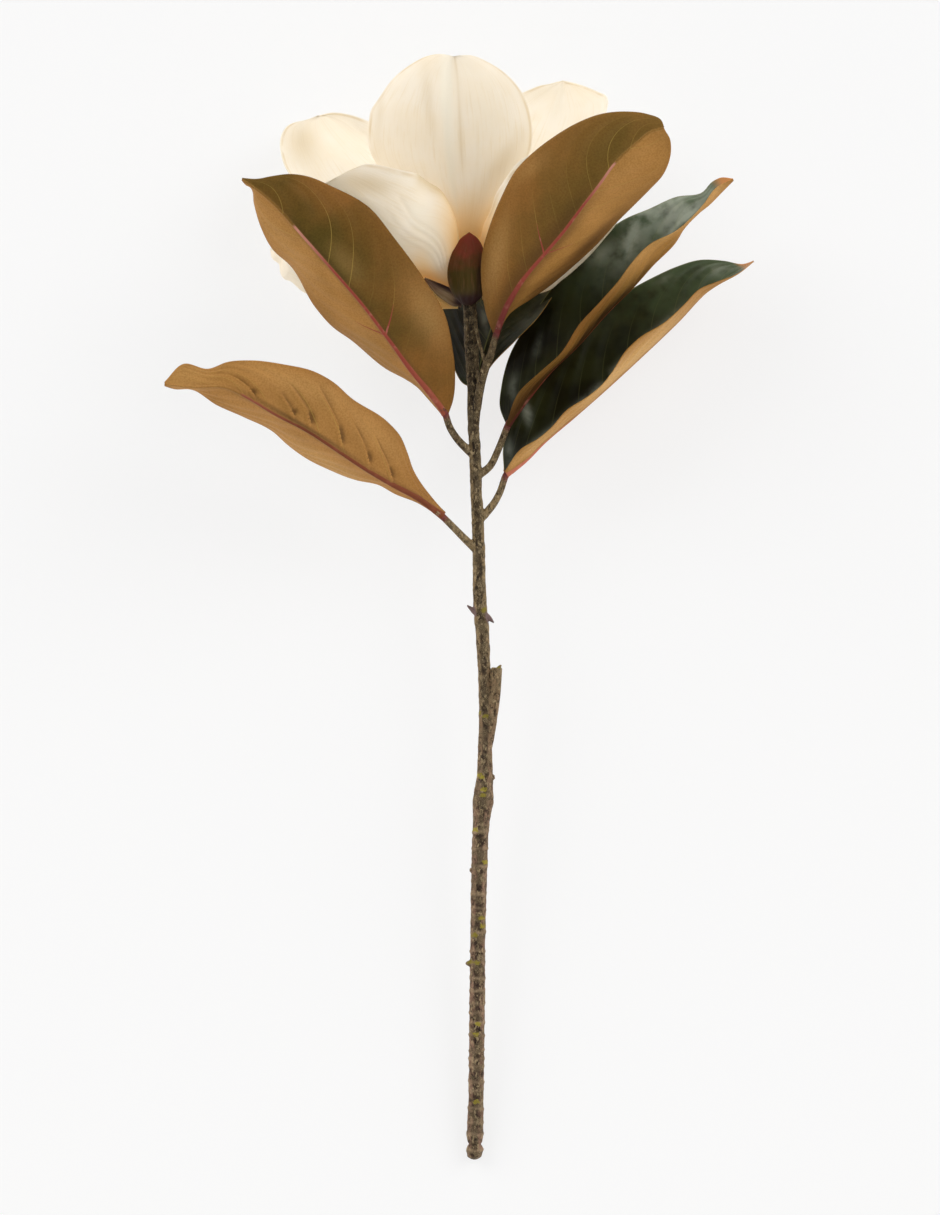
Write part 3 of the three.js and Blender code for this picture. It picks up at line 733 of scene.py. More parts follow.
@dataclass
class Blade:
    """A thin blade with a midline, two curled halves, a rippled edge and relief.

    A half has side 1 on the right when the upper face is seen with its tip up, else -1.
    """

    name: str
    rows: int = 90
    half_columns: int = 26
    thickness: float = 0.8
    creases: Sequence[Crease] = ()
    folds: Sequence[Fold] = ()
    nudges: Sequence[Nudge] = ()
    patches: Sequence[Patch] = ()
    off_surface: float = 0.2  # least gap to the surface it lies on
    thinned: float = 0.45  # how much of its thickness is gone at its edge

    def midpoint(self, t: Array) -> Array:
        """Returns points of the midline."""
        raise NotImplementedError

    def facing(self, t: Array) -> Array:
        """Returns where the upper face looks."""
        raise NotImplementedError

    def half_width(self, side: int, t: Array) -> Array:
        """Returns the width of one half in millimetres."""
        raise NotImplementedError

    def angle(self, side: int, t: Array) -> Array:
        """Returns the degrees by which one half leaves the flat."""
        raise NotImplementedError

    def curl(self, side: int, t: Array) -> Array:
        """Returns the degrees by which one half curls on to its edge."""
        raise NotImplementedError

    def ripple(self, side: int, t: Array) -> Array:
        """Returns the height of the edge's waves in millimetres."""
        raise NotImplementedError

    def columns(self) -> Array:
        """Returns places across, closer together near the midline."""
        half = (np.arange(self.half_columns + 1) / self.half_columns) ** 1.5
        return np.concatenate([-half[:0:-1], half])

    def middle_surface(self, t: Array, s: Array) -> Array:
        """The surface halfway through the blade.

        Args:
            t: Places along, one for each row.
            s: Places across, one for each column.

        Returns:
            A grid of points in the branch's frame.
        """
        middle = self.midpoint(t)
        ahead = unit(self.midpoint(np.minimum(t + STEP, 1)) - self.midpoint(np.maximum(t - STEP, 0)))
        across = unit(np.cross(ahead, self.facing(t)))
        up = np.cross(across, ahead)
        side = np.where(s < 0, -1, 1)
        out, rise = np.zeros((len(t), len(s))), np.zeros((len(t), len(s)))
        for half in (-1, 1):
            share = np.abs(s)[None, :]
            width = self.half_width(half, t)[:, None]
            start = np.radians(self.angle(half, t))[:, None]
            curl = np.radians(self.curl(half, t))[:, None]
            bent = start + curl * share
            wave = self.ripple(half, t)[:, None] * share**2
            half_out = width * (np.sin(bent) - np.sin(start)) / curl - wave * np.sin(bent)
            half_rise = width * (np.cos(start) - np.cos(bent)) / curl + wave * np.cos(bent)
            mine = (side == half)[None, :]
            out = np.where(mine, half * half_out, out)
            rise = np.where(mine, half_rise, rise)
        return middle[:, None] + across[:, None] * out[..., None] + up[:, None] * rise[..., None]

    def settled(self, grid: Array, s: Array) -> Array:
        """Returns the middle surface set where it belongs in the branch's frame."""
        lines = TRACES.get(self.name)
        return lines.fit(grid, s) if lines else grid

    def creased(self, t: Array, s: Array) -> Array:
        """Returns a grid of the creases' lifts in millimetres."""
        widest = float(np.max(self.half_width(1, t)))
        length = float(np.sum(np.linalg.norm(np.diff(self.midpoint(t), axis=0), axis=1)))
        lift = np.zeros((len(t), len(s)))
        for crease in self.creases:
            lift += crease.lift(s[None, :], t[:, None], widest, length)
        return lift

    def folded(self, t: Array, s: Array) -> Array:
        """Returns a grid of the folded strips' lifts in millimetres."""
        lift = np.zeros((len(t), len(s)))
        for fold in self.folds:
            lift += fold.raised(s[None, :], t[:, None])
        return lift

    def relief(self, t: Array, s: Array) -> Array:
        """Returns a grid of all lifts towards the upper face in millimetres."""
        return self.creased(t, s) + self.folded(t, s)

    def rib(self, t: Array, across: Array) -> Array:
        """Returns how far the underside stands out along the midline, in millimetres."""
        return np.zeros_like(across)

    def phase(self, t: Array, s: Array) -> Array:
        """Returns a grid that is whole on each side vein."""
        return np.zeros((len(t), len(s)))

    def fill(self, heap: Heap) -> None:
        """Adds the blade to a heap: upper face, underside and rim, with finishes 0, 1 and 1."""
        t = 0.5 - 0.5 * np.cos(np.pi * np.arange(self.rows + 1) / self.rows)
        s = self.columns()
        grid = self.settled(self.middle_surface(t, s), s)
        normal = grid_normals(grid)
        grid = grid + normal * self.relief(t, s)[..., None]
        for nudge in self.nudges:
            grid = nudge.apply(grid)
        grid = LAY.raised(grid, self.thickness / 2 + self.off_surface)
        normal = grid_normals(grid)
        right, left = self.half_width(1, t)[:, None], self.half_width(-1, t)[:, None]
        width = np.where(s[None, :] < 0, left, right)
        across = s[None, :] * width
        half = self.thickness / 2 * (1 - self.thinned * np.abs(s) ** 4)[None, :]
        upper = grid + normal * half[..., None]
        under = grid - normal * (half + self.rib(t, across))[..., None]
        # Patches of painted highlight and painted shade, in places the blade's own tone.
        tint = sum((patch.share(grid) for patch in self.patches), np.zeros(across.shape))
        values = {
            "across": across,
            "fan": np.broadcast_to(s[None, :] * np.max(width), across.shape),
            "length": np.broadcast_to(t[:, None], across.shape),
            "rim": width - np.abs(across),
            "vein": self.phase(t, s),
            "crease": self.creased(t, s) + 0.25 * self.folded(t, s),
            "tint": tint,
        }
        both = {name: np.tile(value.ravel(), 2) for name, value in values.items()}
        points = np.concatenate([upper.reshape(-1, 3), under.reshape(-1, 3)])
        numbers = np.arange(across.size).reshape(across.shape)
        around = np.concatenate([numbers[0, :], numbers[1:, -1], numbers[-1, -2::-1], numbers[-2:0:-1, 0]])
        after = np.roll(around, -1)
        edge = np.stack([around, around + across.size, after + across.size, after], 1)
        top = grid_faces(*across.shape)
        finish = np.ones(2 * len(top) + len(edge), int)
        finish[: len(top)] = 0
        heap.add(points, np.concatenate([top, top[:, ::-1] + across.size, edge]), finish, **both)

    def build(self, name: str, finishes: Sequence[Material], slot: Slot) -> Thing:
        """Builds the blade over its solid.

        Args:
            name: The object's name.
            finishes: The materials of its upper face and its underside.
            slot: The record's slot; not used.

        Returns:
            The object, which replaces the blade's solid.
        """
        heap = Heap()
        self.fill(heap)
        made = heap.build(name, finishes)
        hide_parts(self.name)
        return made


@dataclass
class Leaf(Blade):
    """A leathery leaf with a raised midrib and side veins."""

    midline: Sequence[Place] = ()
    faces: Place = (0, 0, 1)
    widths: Sequence[float] = ()
    right: Sequence[float] = ()
    left: Sequence[float] = ()
    curled: float = 22
    wave_height: float = 2.5
    waves: float = 3.5
    right_start: float = 0.1
    left_start: float = 0.6
    veins: float = 10  # side veins on each half
    fork: float = 0.35  # place along of one of them
    vein_lean: float = 0.17  # how far a side vein runs ahead on its way to the edge
    quilting: float = 0.5  # how far the blade swells between side veins
    rib_height: float = 1.3
    rib_width: float = 2.3
    rows: int = 110
    half_columns: int = 30

    def midpoint(self, t: Array) -> Array:
        """Returns points of the midline."""
        return along(self.midline, t)

    def facing(self, t: Array) -> Array:
        """Returns where the upper face looks."""
        return np.broadcast_to(np.array(self.faces, float), (len(t), 3))

    def half_width(self, side: int, t: Array) -> Array:
        """Returns the width of one half."""
        return along(self.widths, t)

    def angle(self, side: int, t: Array) -> Array:
        """Returns the rise of one half."""
        return along(self.right if side > 0 else self.left, t)

    def curl(self, side: int, t: Array) -> Array:
        """Returns the curl of one half."""
        return np.full_like(t, self.curled)

    def ripple(self, side: int, t: Array) -> Array:
        """Returns the edge's waves."""
        start = self.right_start if side > 0 else self.left_start
        return self.wave_height * np.sin(np.pi * t) * np.sin(2 * np.pi * (self.waves * t + start))

    def stalk_end(self) -> list[Place]:
        """Returns points by which a stalk runs into the midrib."""
        t, s = np.linspace(0, 1, 101), np.array([-1.0, 0, 1])
        middle = self.settled(self.middle_surface(t, s), s)[:, 1]
        return [tuple(middle[row]) for row in (0, 3, 6)]

    def phase(self, t: Array, s: Array) -> Array:
        """Returns a grid that is whole on each side vein and 0 at the fork."""
        share = np.abs(s)[None, :]
        wobble = 0.012 * np.sin(9 * t[:, None] + 3 * s[None, :]) * share
        ahead = self.vein_lean * (share + 0.9 * share**3)
        return self.veins * (t[:, None] - self.fork - ahead + wobble)

    def relief(self, t: Array, s: Array) -> Array:
        """Returns creases, and the swelling between side veins, in millimetres."""
        share = np.abs(s)[None, :]
        swell = np.sin(np.pi * self.phase(t, s)) ** 2
        window = smooth_step(0, 0.18, share) * (1 - smooth_step(0.72, 1, share))
        window = window * smooth_step(0.02, 0.14, t)[:, None] * (1 - smooth_step(0.82, 0.97, t))[:, None]
        return super().relief(t, s) + self.quilting * swell * window

    def rib(self, t: Array, across: Array) -> Array:
        """Returns how far the midrib stands out of the underside."""
        foot = np.exp(-t / 0.1)
        height = self.rib_height * (1 - 0.75 * t + 0.5 * foot)[:, None]
        width = self.rib_width * (1 - 0.7 * t + 0.35 * foot)[:, None]
        return height * np.exp(-((across / width) ** 2) * 1.2)


@dataclass(frozen=True)
class Half:
    """What one half of a petal takes of its width and of its curl."""

    width: float = 1
    curl: float = 1


@dataclass
class Petal(Blade):
    """A cupped petal, drawn facing away from the bloom's axis and turned round it."""

    azimuth: float = 0
    root: float = BLOOM.core_radius
    foot: float = 8
    long: float = 140
    wide: float = 110
    lean: Sequence[float] = ()
    curls: Sequence[float] = ()
    roll: float = 0
    right: Half = Half()
    left: Half = Half()
    thickness: float = 1
    claw: float = 5
    tip: float = 2.5
    slender: float = 1.5
    roundness: float = 2.3
    peak: float = 0.66
    rolled_by: float = 0.4
    rippled: float = 1.5
    waves: float = 2
    wave_shift: float = 0.2  # how far its two edges' waves are out of step
    crumple: float = 0.35  # height of the fine waves of its surface
    bends: int = 40  # straight steps of its midline
    rows: int = 84
    half_columns: int = 24

    def columns(self) -> Array:
        """Returns places across, closer together near both edges."""
        return np.sin(np.pi / 2 * np.linspace(-1, 1, 2 * self.half_columns + 1))

    def midpoint(self, t: Array) -> Array:
        """Returns points of the midline in the plane of the bloom's axis."""
        lean = np.radians(along(self.lean, (np.arange(self.bends) + 0.5) / self.bends))
        forward = np.concatenate([[0], np.cumsum(np.cos(lean))]) * self.long / self.bends
        outward = np.concatenate([[0], np.cumsum(np.sin(lean))]) * self.long / self.bends
        start = self.root + BLOOM.clearance + self.thickness / 2
        path = np.stack([np.zeros(self.bends + 1), self.foot + forward, start + outward], 1)
        return along(path, t)

    def facing(self, t: Array) -> Array:
        """Returns where the upper face looks: towards the axis."""
        lean = np.radians(along(self.lean, t))
        return np.stack([np.zeros_like(lean), np.sin(lean), -np.cos(lean)], -1)

    def half_width(self, side: int, t: Array) -> Array:
        """Returns the width of one half."""
        most = self.wide / 2 * (self.right if side > 0 else self.left).width
        growth = np.sin(np.pi / 2 * np.minimum(t / self.peak, 1)) ** self.slender
        past = np.clip((t - self.peak) / (1 - self.peak), 0, 1)
        end = np.maximum(most * np.sqrt(1 - past**self.roundness), self.tip)
        return np.where(t < self.peak, self.claw + (most - self.claw) * growth, end)

    def angle(self, side: int, t: Array) -> Array:
        """Returns the rise of one half."""
        return side * self.roll * np.minimum(t / self.rolled_by, 1)

    def curl(self, side: int, t: Array) -> Array:
        """Returns the curl of one half."""
        return (self.right if side > 0 else self.left).curl * along(self.curls, t)

    def ripple(self, side: int, t: Array) -> Array:
        """Returns the edge's waves."""
        return self.rippled * t * np.sin(2 * np.pi * (self.waves * t + side * self.wave_shift))

    def settled(self, grid: Array, s: Array) -> Array:
        """Returns the petal turned to its place round the bloom."""
        return super().settled(placed(BLOOM.matrix() @ turned(1, self.azimuth), grid), s)

    def relief(self, t: Array, s: Array) -> Array:
        """Returns creases and fine waves in millimetres."""
        across, length = s[None, :] * self.wide / 2, t[:, None] * self.long * 0.45
        place = np.stack(np.broadcast_arrays(across, length, self.azimuth), -1)
        waves = Lumps(3).at(place, 9) + 0.4 * Lumps(4).at(place, 4)
        fade = smooth_step(0.05, 0.3, t)[:, None] * (1 - 0.6 * np.abs(s) ** 3)[None, :]
        return super().relief(t, s) + self.crumple * waves * fade


# ---- nodes of a material ----


class Nodes:
    """Short calls that add and link the nodes of one material or world."""

    def __init__(self, tree: bpy.types.NodeTree) -> None:
        """Starts from an empty tree."""
        self.tree = tree
        tree.nodes.clear()

    def add(self, kind: str, settings: dict | None = None, **sockets: object) -> bpy.types.Node:
        """Adds one node.

        Args:
            kind: The node's type, without its leading ShaderNode.
            settings: Its properties.
            sockets: Its inputs, by name with _ for a space: a value, or an output to link.

        Returns:
            The node.
        """
        node = self.tree.nodes.new("ShaderNode" + kind)
        for name, value in (settings or {}).items():
            setattr(node, name, value)
        for name, value in sockets.items():
            self.feed(node.inputs[name.replace("_", " ")], value)
        return node

    def feed(self, socket: Socket, value: object) -> None:
        """Links an output to a socket, or sets the socket's value."""
        if isinstance(value, Socket):
            self.tree.links.new(value, socket)
        elif isinstance(value, tuple) and len(value) == 3 and socket.type == "RGBA":
            socket.default_value = (*value, 1)
        else:
            socket.default_value = value

    def value(self, name: str) -> Socket:
        """Returns a value that the mesh holds for each point."""
        return self.add("Attribute", {"attribute_name": name}).outputs["Fac"]

    def place(self) -> Socket:
        """Returns the place on the object, in metres."""
        return self.add("TexCoord").outputs["Object"]

    def math(self, how: str, first: object, second: object = 0.0) -> Socket:
        """Returns what one sum makes of two numbers."""
        node = self.add("Math", {"operation": how})
        self.feed(node.inputs[0], first)
        self.feed(node.inputs[1], second)
        return node.outputs[0]

    def times(self, first: object, second: object) -> Socket:
        """Returns the product."""
        return self.math("MULTIPLY", first, second)

    def plus(self, first: object, second: object) -> Socket:
        """Returns the sum."""
        return self.math("ADD", first, second)

    def minus(self, first: object, second: object) -> Socket:
        """Returns the difference."""
        return self.math("SUBTRACT", first, second)

    def size(self, value: object) -> Socket:
        """Returns a number without its sign."""
        return self.math("ABSOLUTE", value)

    def step(self, value: object, low: float, high: float) -> Socket:
        """Returns 0 at low, 1 at high, and a smooth rise between. Low may be above high."""
        smooth = {"interpolation_type": "SMOOTHSTEP"}
        return self.add("MapRange", smooth, Value=value, From_Min=low, From_Max=high).outputs[0]

    def noise(self, size: float, detail: float = 3, place: object = None, rough: float = 0.5) -> Socket:
        """Returns noise from 0 to 1 whose lumps are size metres wide."""
        vector = self.place() if place is None else place
        node = self.add("TexNoise", Vector=vector, Scale=1 / size, Detail=detail, Roughness=rough)
        return node.outputs["Fac"]

    def wobble(self, size: float, detail: float, place: object = None, rough: float = 0.5) -> Socket:
        """Returns noise from -0.5 to 0.5."""
        return self.minus(self.noise(size, detail, place, rough), 0.5)

    def stretched(self, scale: Place) -> Socket:
        """Returns the place with each axis multiplied."""
        return self.add("Mapping", Vector=self.place(), Scale=scale).outputs[0]

    def unrolled(self, stretch: float) -> Socket:
        """Returns a flat place that runs across a blade in millimetres and along it in shares."""
        along_it = self.times(self.value("length"), stretch)
        return self.add("CombineXYZ", X=self.value("fan"), Y=along_it).outputs[0]

    def off_vein(self, spacing: float) -> Socket:
        """Returns the millimetres to the nearest side vein."""
        whole = self.math("FRACT", self.plus(self.value("vein"), 0.5))
        return self.times(self.size(self.minus(whole, 0.5)), spacing)

    def mix(self, share: object, first: object, second: object, how: str = "MIX") -> Socket:
        """Returns a mix of two colours."""
        node = self.add("Mix", {"data_type": "RGBA", "blend_type": how})
        self.feed(node.inputs[0], share)
        self.feed(node.inputs[6], first)
        self.feed(node.inputs[7], second)
        return node.outputs[2]

    def tint(self, colour: object, towards: object, share: object, most: float = 1.0) -> Socket:
        """Returns a colour moved towards another one, by most where the share is 1."""
        return self.mix(share if most == 1.0 else self.times(share, most), colour, towards)

    def bump(self, height: object, distance: float, strength: float = 1.0, normal: object = None) -> Socket:
        """Returns a normal that follows a height from 0 to 1, which stands for distance metres."""
        node = self.add("Bump", Height=height, Distance=distance, Strength=strength)
        if normal is not None:
            self.feed(node.inputs["Normal"], normal)
        return node.outputs[0]

    def coat(
        self, colour: Socket, rough: object, normal: Socket, gloss: float = 0.5, **more: float
    ) -> Socket:
        """Returns a solid shader of one colour."""
        node = self.add("BsdfPrincipled", Base_Color=colour, Roughness=rough, Normal=normal, **more)
        node.inputs["Specular IOR Level"].default_value = gloss
        return node.outputs[0]

    def joined(self, node: bpy.types.Node, first: Socket, second: Socket) -> Socket:
        """Returns two shaders joined by a node whose last two inputs take them."""
        self.feed(node.inputs[-2], first)
        self.feed(node.inputs[-1], second)
        return node.outputs[0]


def linear(value: float) -> float:
    """Returns the light of one part of a colour given from 0 to 255 as screens show it."""
    share = value / 255
    return share / 12.92 if share <= 0.04045 else ((share + 0.055) / 1.055) ** 2.4


def srgb(red: float, green: float, blue: float) -> Colour:
    """Returns the light of a colour given from 0 to 255 as screens show it."""
    return linear(red), linear(green), linear(blue)


# ---- finishes ----


@dataclass(frozen=True)
class Finish:
    """A finish, which each kind draws with nodes of its own."""

    name: str

    def surface(self, n: Nodes) -> Socket:
        """Returns the shader."""
        raise NotImplementedError

    def make(self) -> Material:
        """Returns the material."""
        made = bpy.data.materials.new(self.name)
        made.use_nodes = True
        n = Nodes(made.node_tree)
        n.add("OutputMaterial", Surface=self.surface(n))
        return made


@dataclass(frozen=True)
class Underside(Finish):
    """The brown felt under a leaf: gold or stained olive, with a pink midrib and fine side veins, painted
    shade beside the midrib and in furrows, painted highlights on raised veins, and painted highlights and
    shade where patches lie.
    """

    gold: Colour = srgb(174, 125, 62)
    amber: Colour = srgb(196, 142, 76)
    brown: Colour = srgb(140, 94, 40)
    olive: Colour = srgb(84, 69, 20)
    pink: Colour = srgb(150, 68, 54)
    root_pink: Colour = srgb(112, 48, 44)
    pale: Colour = srgb(226, 168, 146)
    thread: Colour = srgb(176, 146, 70)
    light: Colour = srgb(210, 164, 100)
    shadow: Colour = srgb(66, 40, 18)
    right_stain: float = 0.1
    left_stain: float = 1.0
    stain_end: float = 2.0  # place along at which the stain has gone
    pink_ends: float = 0.8
    rib_base: float = 1.6  # millimetres of extra half width of the pink midrib at its foot
    rib_along: float = 0.95  # its half width beyond that
    shade_reach: float = 4.5  # millimetres of shade on each side of the midrib
    shade_share: float = 0.35
    shade_end: float = 1.0  # place along at which that shade has gone
    fork_reach: float = 0.5  # millimetres of pink on the two side veins of the fork
    spacing: float = 20  # millimetres between side veins
    thread_share: float = 0.55

    def stained(self, n: Nodes) -> Socket:
        """Returns the colour of the felt."""
        across, length, crease = n.value("across"), n.value("length"), n.value("crease")
        right = n.step(across, -1.5, 1.5)
        mottle = n.step(n.noise(0.035, 3), 0.32, 0.68)
        cloud = n.step(n.noise(0.022, 4), 0.3, 0.7)
        stain = n.plus(n.times(right, self.right_stain - self.left_stain), self.left_stain)
        stain = n.times(stain, n.step(length, self.stain_end, self.stain_end - 0.25))
        lit = n.tint(self.gold, self.amber, cloud, 0.6)
        near = n.times(n.step(n.size(across), 44, 6), n.step(length, 0.1, 0.5))
        deep = n.plus(n.times(near, 0.6), n.times(mottle, 0.4))
        felt = n.mix(stain, lit, n.mix(deep, self.brown, self.olive))
        rim = n.times(n.step(n.value("rim"), 5, 0), n.minus(1.0, stain))
        felt = n.tint(felt, self.brown, rim, 0.35)
        # Painted highlights where patches are paler, in places the felt's own paler tone.
        felt = n.tint(felt, self.light, n.step(n.value("tint"), 0, 1))
        # Painted shade in the furrows beside raised veins, and painted amber highlights on their ridges.
        felt = n.tint(felt, self.shadow, n.step(crease, 0.05, 1.4), 0.6)
        return n.tint(felt, self.amber, n.step(crease, -0.1, -1.1), 0.6)

    def threads(self, n: Nodes, away: Socket, off: Socket) -> Socket:
        """Returns the strength of the fine side veins, each of its own strength by chance."""
        beside = n.times(n.step(n.value("across"), -0.1, 0.1), 50)
        number = n.plus(n.math("ROUND", n.value("vein")), beside)
        chance = n.add("TexWhiteNoise", {"noise_dimensions": "1D"}, W=number).outputs[0]
        fade = n.times(n.step(away, 38, 12), n.step(n.value("length"), 0.03, 0.15))
        return n.times(n.step(off, 0.5, 0.12), n.times(fade, n.step(chance, -0.1, 0.9)))

    def pinks(self, n: Nodes, away: Socket, off: Socket) -> Socket:
        """Returns the strength of the pink midrib and of the fork's two veins."""
        length = n.value("length")
        width = n.minus(self.rib_along, n.times(length, 0.6))
        width = n.plus(width, n.times(n.step(length, 0.3, -0.05), self.rib_base))
        rib = n.step(n.minus(away, width), 0.3, -0.25)
        rib = n.times(rib, n.step(length, self.pink_ends, self.pink_ends - 0.015))
        narrow = n.times(n.minus(self.fork_reach, away), 0.045)
        forked = n.step(n.minus(off, narrow), 0.25, -0.05)
        forked = n.times(forked, n.step(n.size(n.value("vein")), 0.4, 0.3))
        forked = n.times(forked, n.step(away, self.fork_reach, self.fork_reach - 1))
        return n.math("MAXIMUM", rib, forked)

    def surface(self, n: Nodes) -> Socket:
        """Returns the shader."""
        length, away, off = n.value("length"), n.size(n.value("across")), n.off_vein(self.spacing)
        thread, grain = self.threads(n, away, off), n.noise(0.0012, 2)
        felt = self.stained(n)
        felt = n.mix(n.step(grain, 0.25, 0.7), n.mix(1.0, felt, (0.8, 0.78, 0.74), "MULTIPLY"), felt)
        felt = n.tint(felt, self.thread, thread, self.thread_share)
        shade = n.step(away, self.shade_reach, 1.0)
        shade = n.times(shade, n.step(length, self.shade_end, self.shade_end - 0.35))
        felt = n.tint(felt, self.shadow, shade, self.shade_share)
        tip = n.step(length, self.pink_ends - 0.22, self.pink_ends)
        spots = n.times(n.step(n.noise(0.007, 2), 0.55, 0.75), 0.2)
        pale = n.plus(n.times(tip, 0.55), spots)
        red = n.mix(n.step(length, 0.28, 0.02), self.pink, self.root_pink)
        colour = n.mix(self.pinks(n, away, off), felt, n.mix(pale, red, self.pale))
        # Painted shade where patches are darker, over the midrib too.
        colour = n.tint(colour, self.shadow, n.step(n.value("tint"), 0, -1))
        height = n.plus(n.times(grain, 0.35), n.times(thread, 0.8))
        normal = n.bump(height, 0.0003, 0.5, n.bump(n.noise(0.006, 3), 0.0006, 0.25))
        return n.coat(colour, 0.6, normal, 0.12)


@dataclass(frozen=True)
class UpperFace(Finish):
    """The glossy dark green upper face of a leaf, with pale threads for veins, painted grey-green
    highlights where patches are paler and painted shade where they are darker.
    """

    name: str = "leaf_upper_face"
    deep: Colour = srgb(20, 17, 5)
    green: Colour = srgb(46, 49, 21)
    light: Colour = srgb(88, 108, 74)
    # Colour of the painted highlights.
    sheen: Colour = srgb(156, 162, 146)
    thread: Colour = srgb(120, 122, 74)
    tip: Colour = srgb(196, 134, 74)
    spacing: float = 20

    def surface(self, n: Nodes) -> Socket:
        """Returns the shader."""
        length, away, tint = n.value("length"), n.size(n.value("across")), n.value("tint")
        colour = n.mix(n.step(n.noise(0.035, 4), 0.35, 0.65), self.deep, self.green)
        tip = n.times(n.step(length, 0.35, 0.9), n.step(n.noise(0.02, 3), 0.2, 0.6))
        colour = n.tint(colour, self.light, tip, 0.6)
        # Painted highlights in the sheen colour where patches are paler, painted shade where they are
        # darker.
        painted_gloss = n.times(tint, n.step(n.noise(0.012, 3), 0.1, 0.6))
        colour = n.tint(colour, self.sheen, n.step(painted_gloss, 0, 1))
        colour = n.tint(colour, self.deep, n.step(tint, 0, -1))
        thread = n.times(n.step(n.off_vein(self.spacing), 0.7, 0.15), n.step(away, 38, 6))
        colour = n.tint(colour, self.thread, thread, 0.25)
        colour = n.tint(colour, self.thread, n.step(away, 0.9, 0.4), 0.7)
        colour = n.tint(colour, self.thread, n.step(n.value("rim"), 0.9, 0.2), 0.6)
        colour = n.tint(colour, self.tip, n.step(length, 0.925, 0.96))
        rough = n.plus(0.34, n.times(n.noise(0.008, 3), 0.2))
        height = n.minus(n.noise(0.0022, 3), n.times(thread, 0.6))
        normal = n.bump(height, 0.0003, 0.35, n.bump(n.noise(0.009, 3), 0.0008, 0.3))
        return n.coat(colour, rough, normal, 0.16)


@dataclass(frozen=True)
class PetalSkin(Finish):
    """Cream petal: thin, lit through, warmer at its foot, with a beige rim and fine streaks, painted shade
    in its furrows, painted highlights on its ridges, and painted highlights and shade where patches lie.
    """

    outer: int = 1  # 1 for the outer side of the petals, -1 for the side that faces the axis
    cream: Colour = srgb(255, 250, 241)
    shade: Colour = srgb(252, 243, 226)
    streak: Colour = srgb(239, 226, 200)
    peach: Colour = srgb(255, 214, 124)
    edge: Colour = srgb(222, 202, 162)
    painted_shade: Colour = srgb(214, 194, 152)
    painted_highlight: Colour = srgb(255, 252, 243)
    through: Colour = srgb(255, 251, 240)
    lit_through: float = 0.56

    def surface(self, n: Nodes) -> Socket:
        """Returns the shader."""
        rim, tint = n.value("rim"), n.value("tint")
        crease = n.times(n.value("crease"), float(self.outer))
        streaks = n.noise(1.6, 4, n.unrolled(9), 0.6)
        cream = n.tint(self.cream, self.shade, n.step(n.noise(0.03, 3), 0.35, 0.65), 0.5)
        cream = n.tint(cream, self.streak, n.step(streaks, 0.48, 0.72), 0.4)
        # Painted shade in the furrows and painted highlights on the ridges, as seen from this side.
        cream = n.tint(cream, self.painted_shade, n.step(crease, 0.1, 1.5), 0.75)
        cream = n.tint(cream, self.painted_highlight, n.step(crease, -0.1, -1.6), 0.85)
        cream = n.tint(cream, self.peach, n.step(n.value("length"), 0.46, 0.1), 0.9)
        # Painted highlights where patches are paler, painted shade where they are darker.
        cream = n.tint(cream, self.painted_highlight, n.step(tint, 0, 1))
        cream = n.tint(cream, self.painted_shade, n.step(tint, 0, -1))
        line = n.times(n.step(rim, 4.2, 2.2), n.step(rim, 0.5, 1.6))
        worn = n.times(line, n.step(n.noise(0.02, 3), 0.32, 0.6))
        colour = n.tint(cream, self.edge, worn, 0.5)
        height = n.plus(streaks, n.times(n.noise(0.0016, 2), 0.25))
        normal = n.bump(height, 0.0006, 0.35)
        glow = n.add("BsdfTranslucent", Color=n.mix(0.38, colour, self.through), Normal=normal).outputs[0]
        return n.joined(n.add("MixShader", Fac=self.lit_through), n.coat(colour, 0.5, normal, 0.25), glow)


@dataclass(frozen=True)
class BudScale(Finish):
    """A leathery bud scale, olive at its foot and dark red at its tip, ribbed along."""

    foot: Colour = srgb(78, 62, 20)
    tip: Colour = srgb(142, 62, 46)
    pale: Colour = srgb(132, 88, 60)
    shadow: Colour = srgb(52, 26, 22)

    def surface(self, n: Nodes) -> Socket:
        """Returns the shader."""
        tint = n.value("tint")
        ribs = n.noise(1.3, 3, n.unrolled(5))
        turn = n.plus(n.value("length"), n.times(n.wobble(0.006, 3), 0.35))
        colour = n.mix(n.step(turn, 0.48, 0.95), self.foot, self.tip)
        colour = n.tint(colour, self.pale, n.step(ribs, 0.5, 0.75), 0.45)
        colour = n.tint(colour, self.pale, n.step(n.value("rim"), 0.9, 0.1), 0.6)
        # Painted shade where patches are darker, painted highlight where they are paler.
        colour = n.tint(colour, self.shadow, n.step(tint, 0, -1))
        colour = n.tint(colour, self.pale, n.step(tint, 0, 1))
        normal = n.bump(ribs, 0.0007, 0.6, n.bump(n.noise(0.001, 2), 0.0002, 0.4))
        return n.coat(colour, 0.55, normal, 0.15)


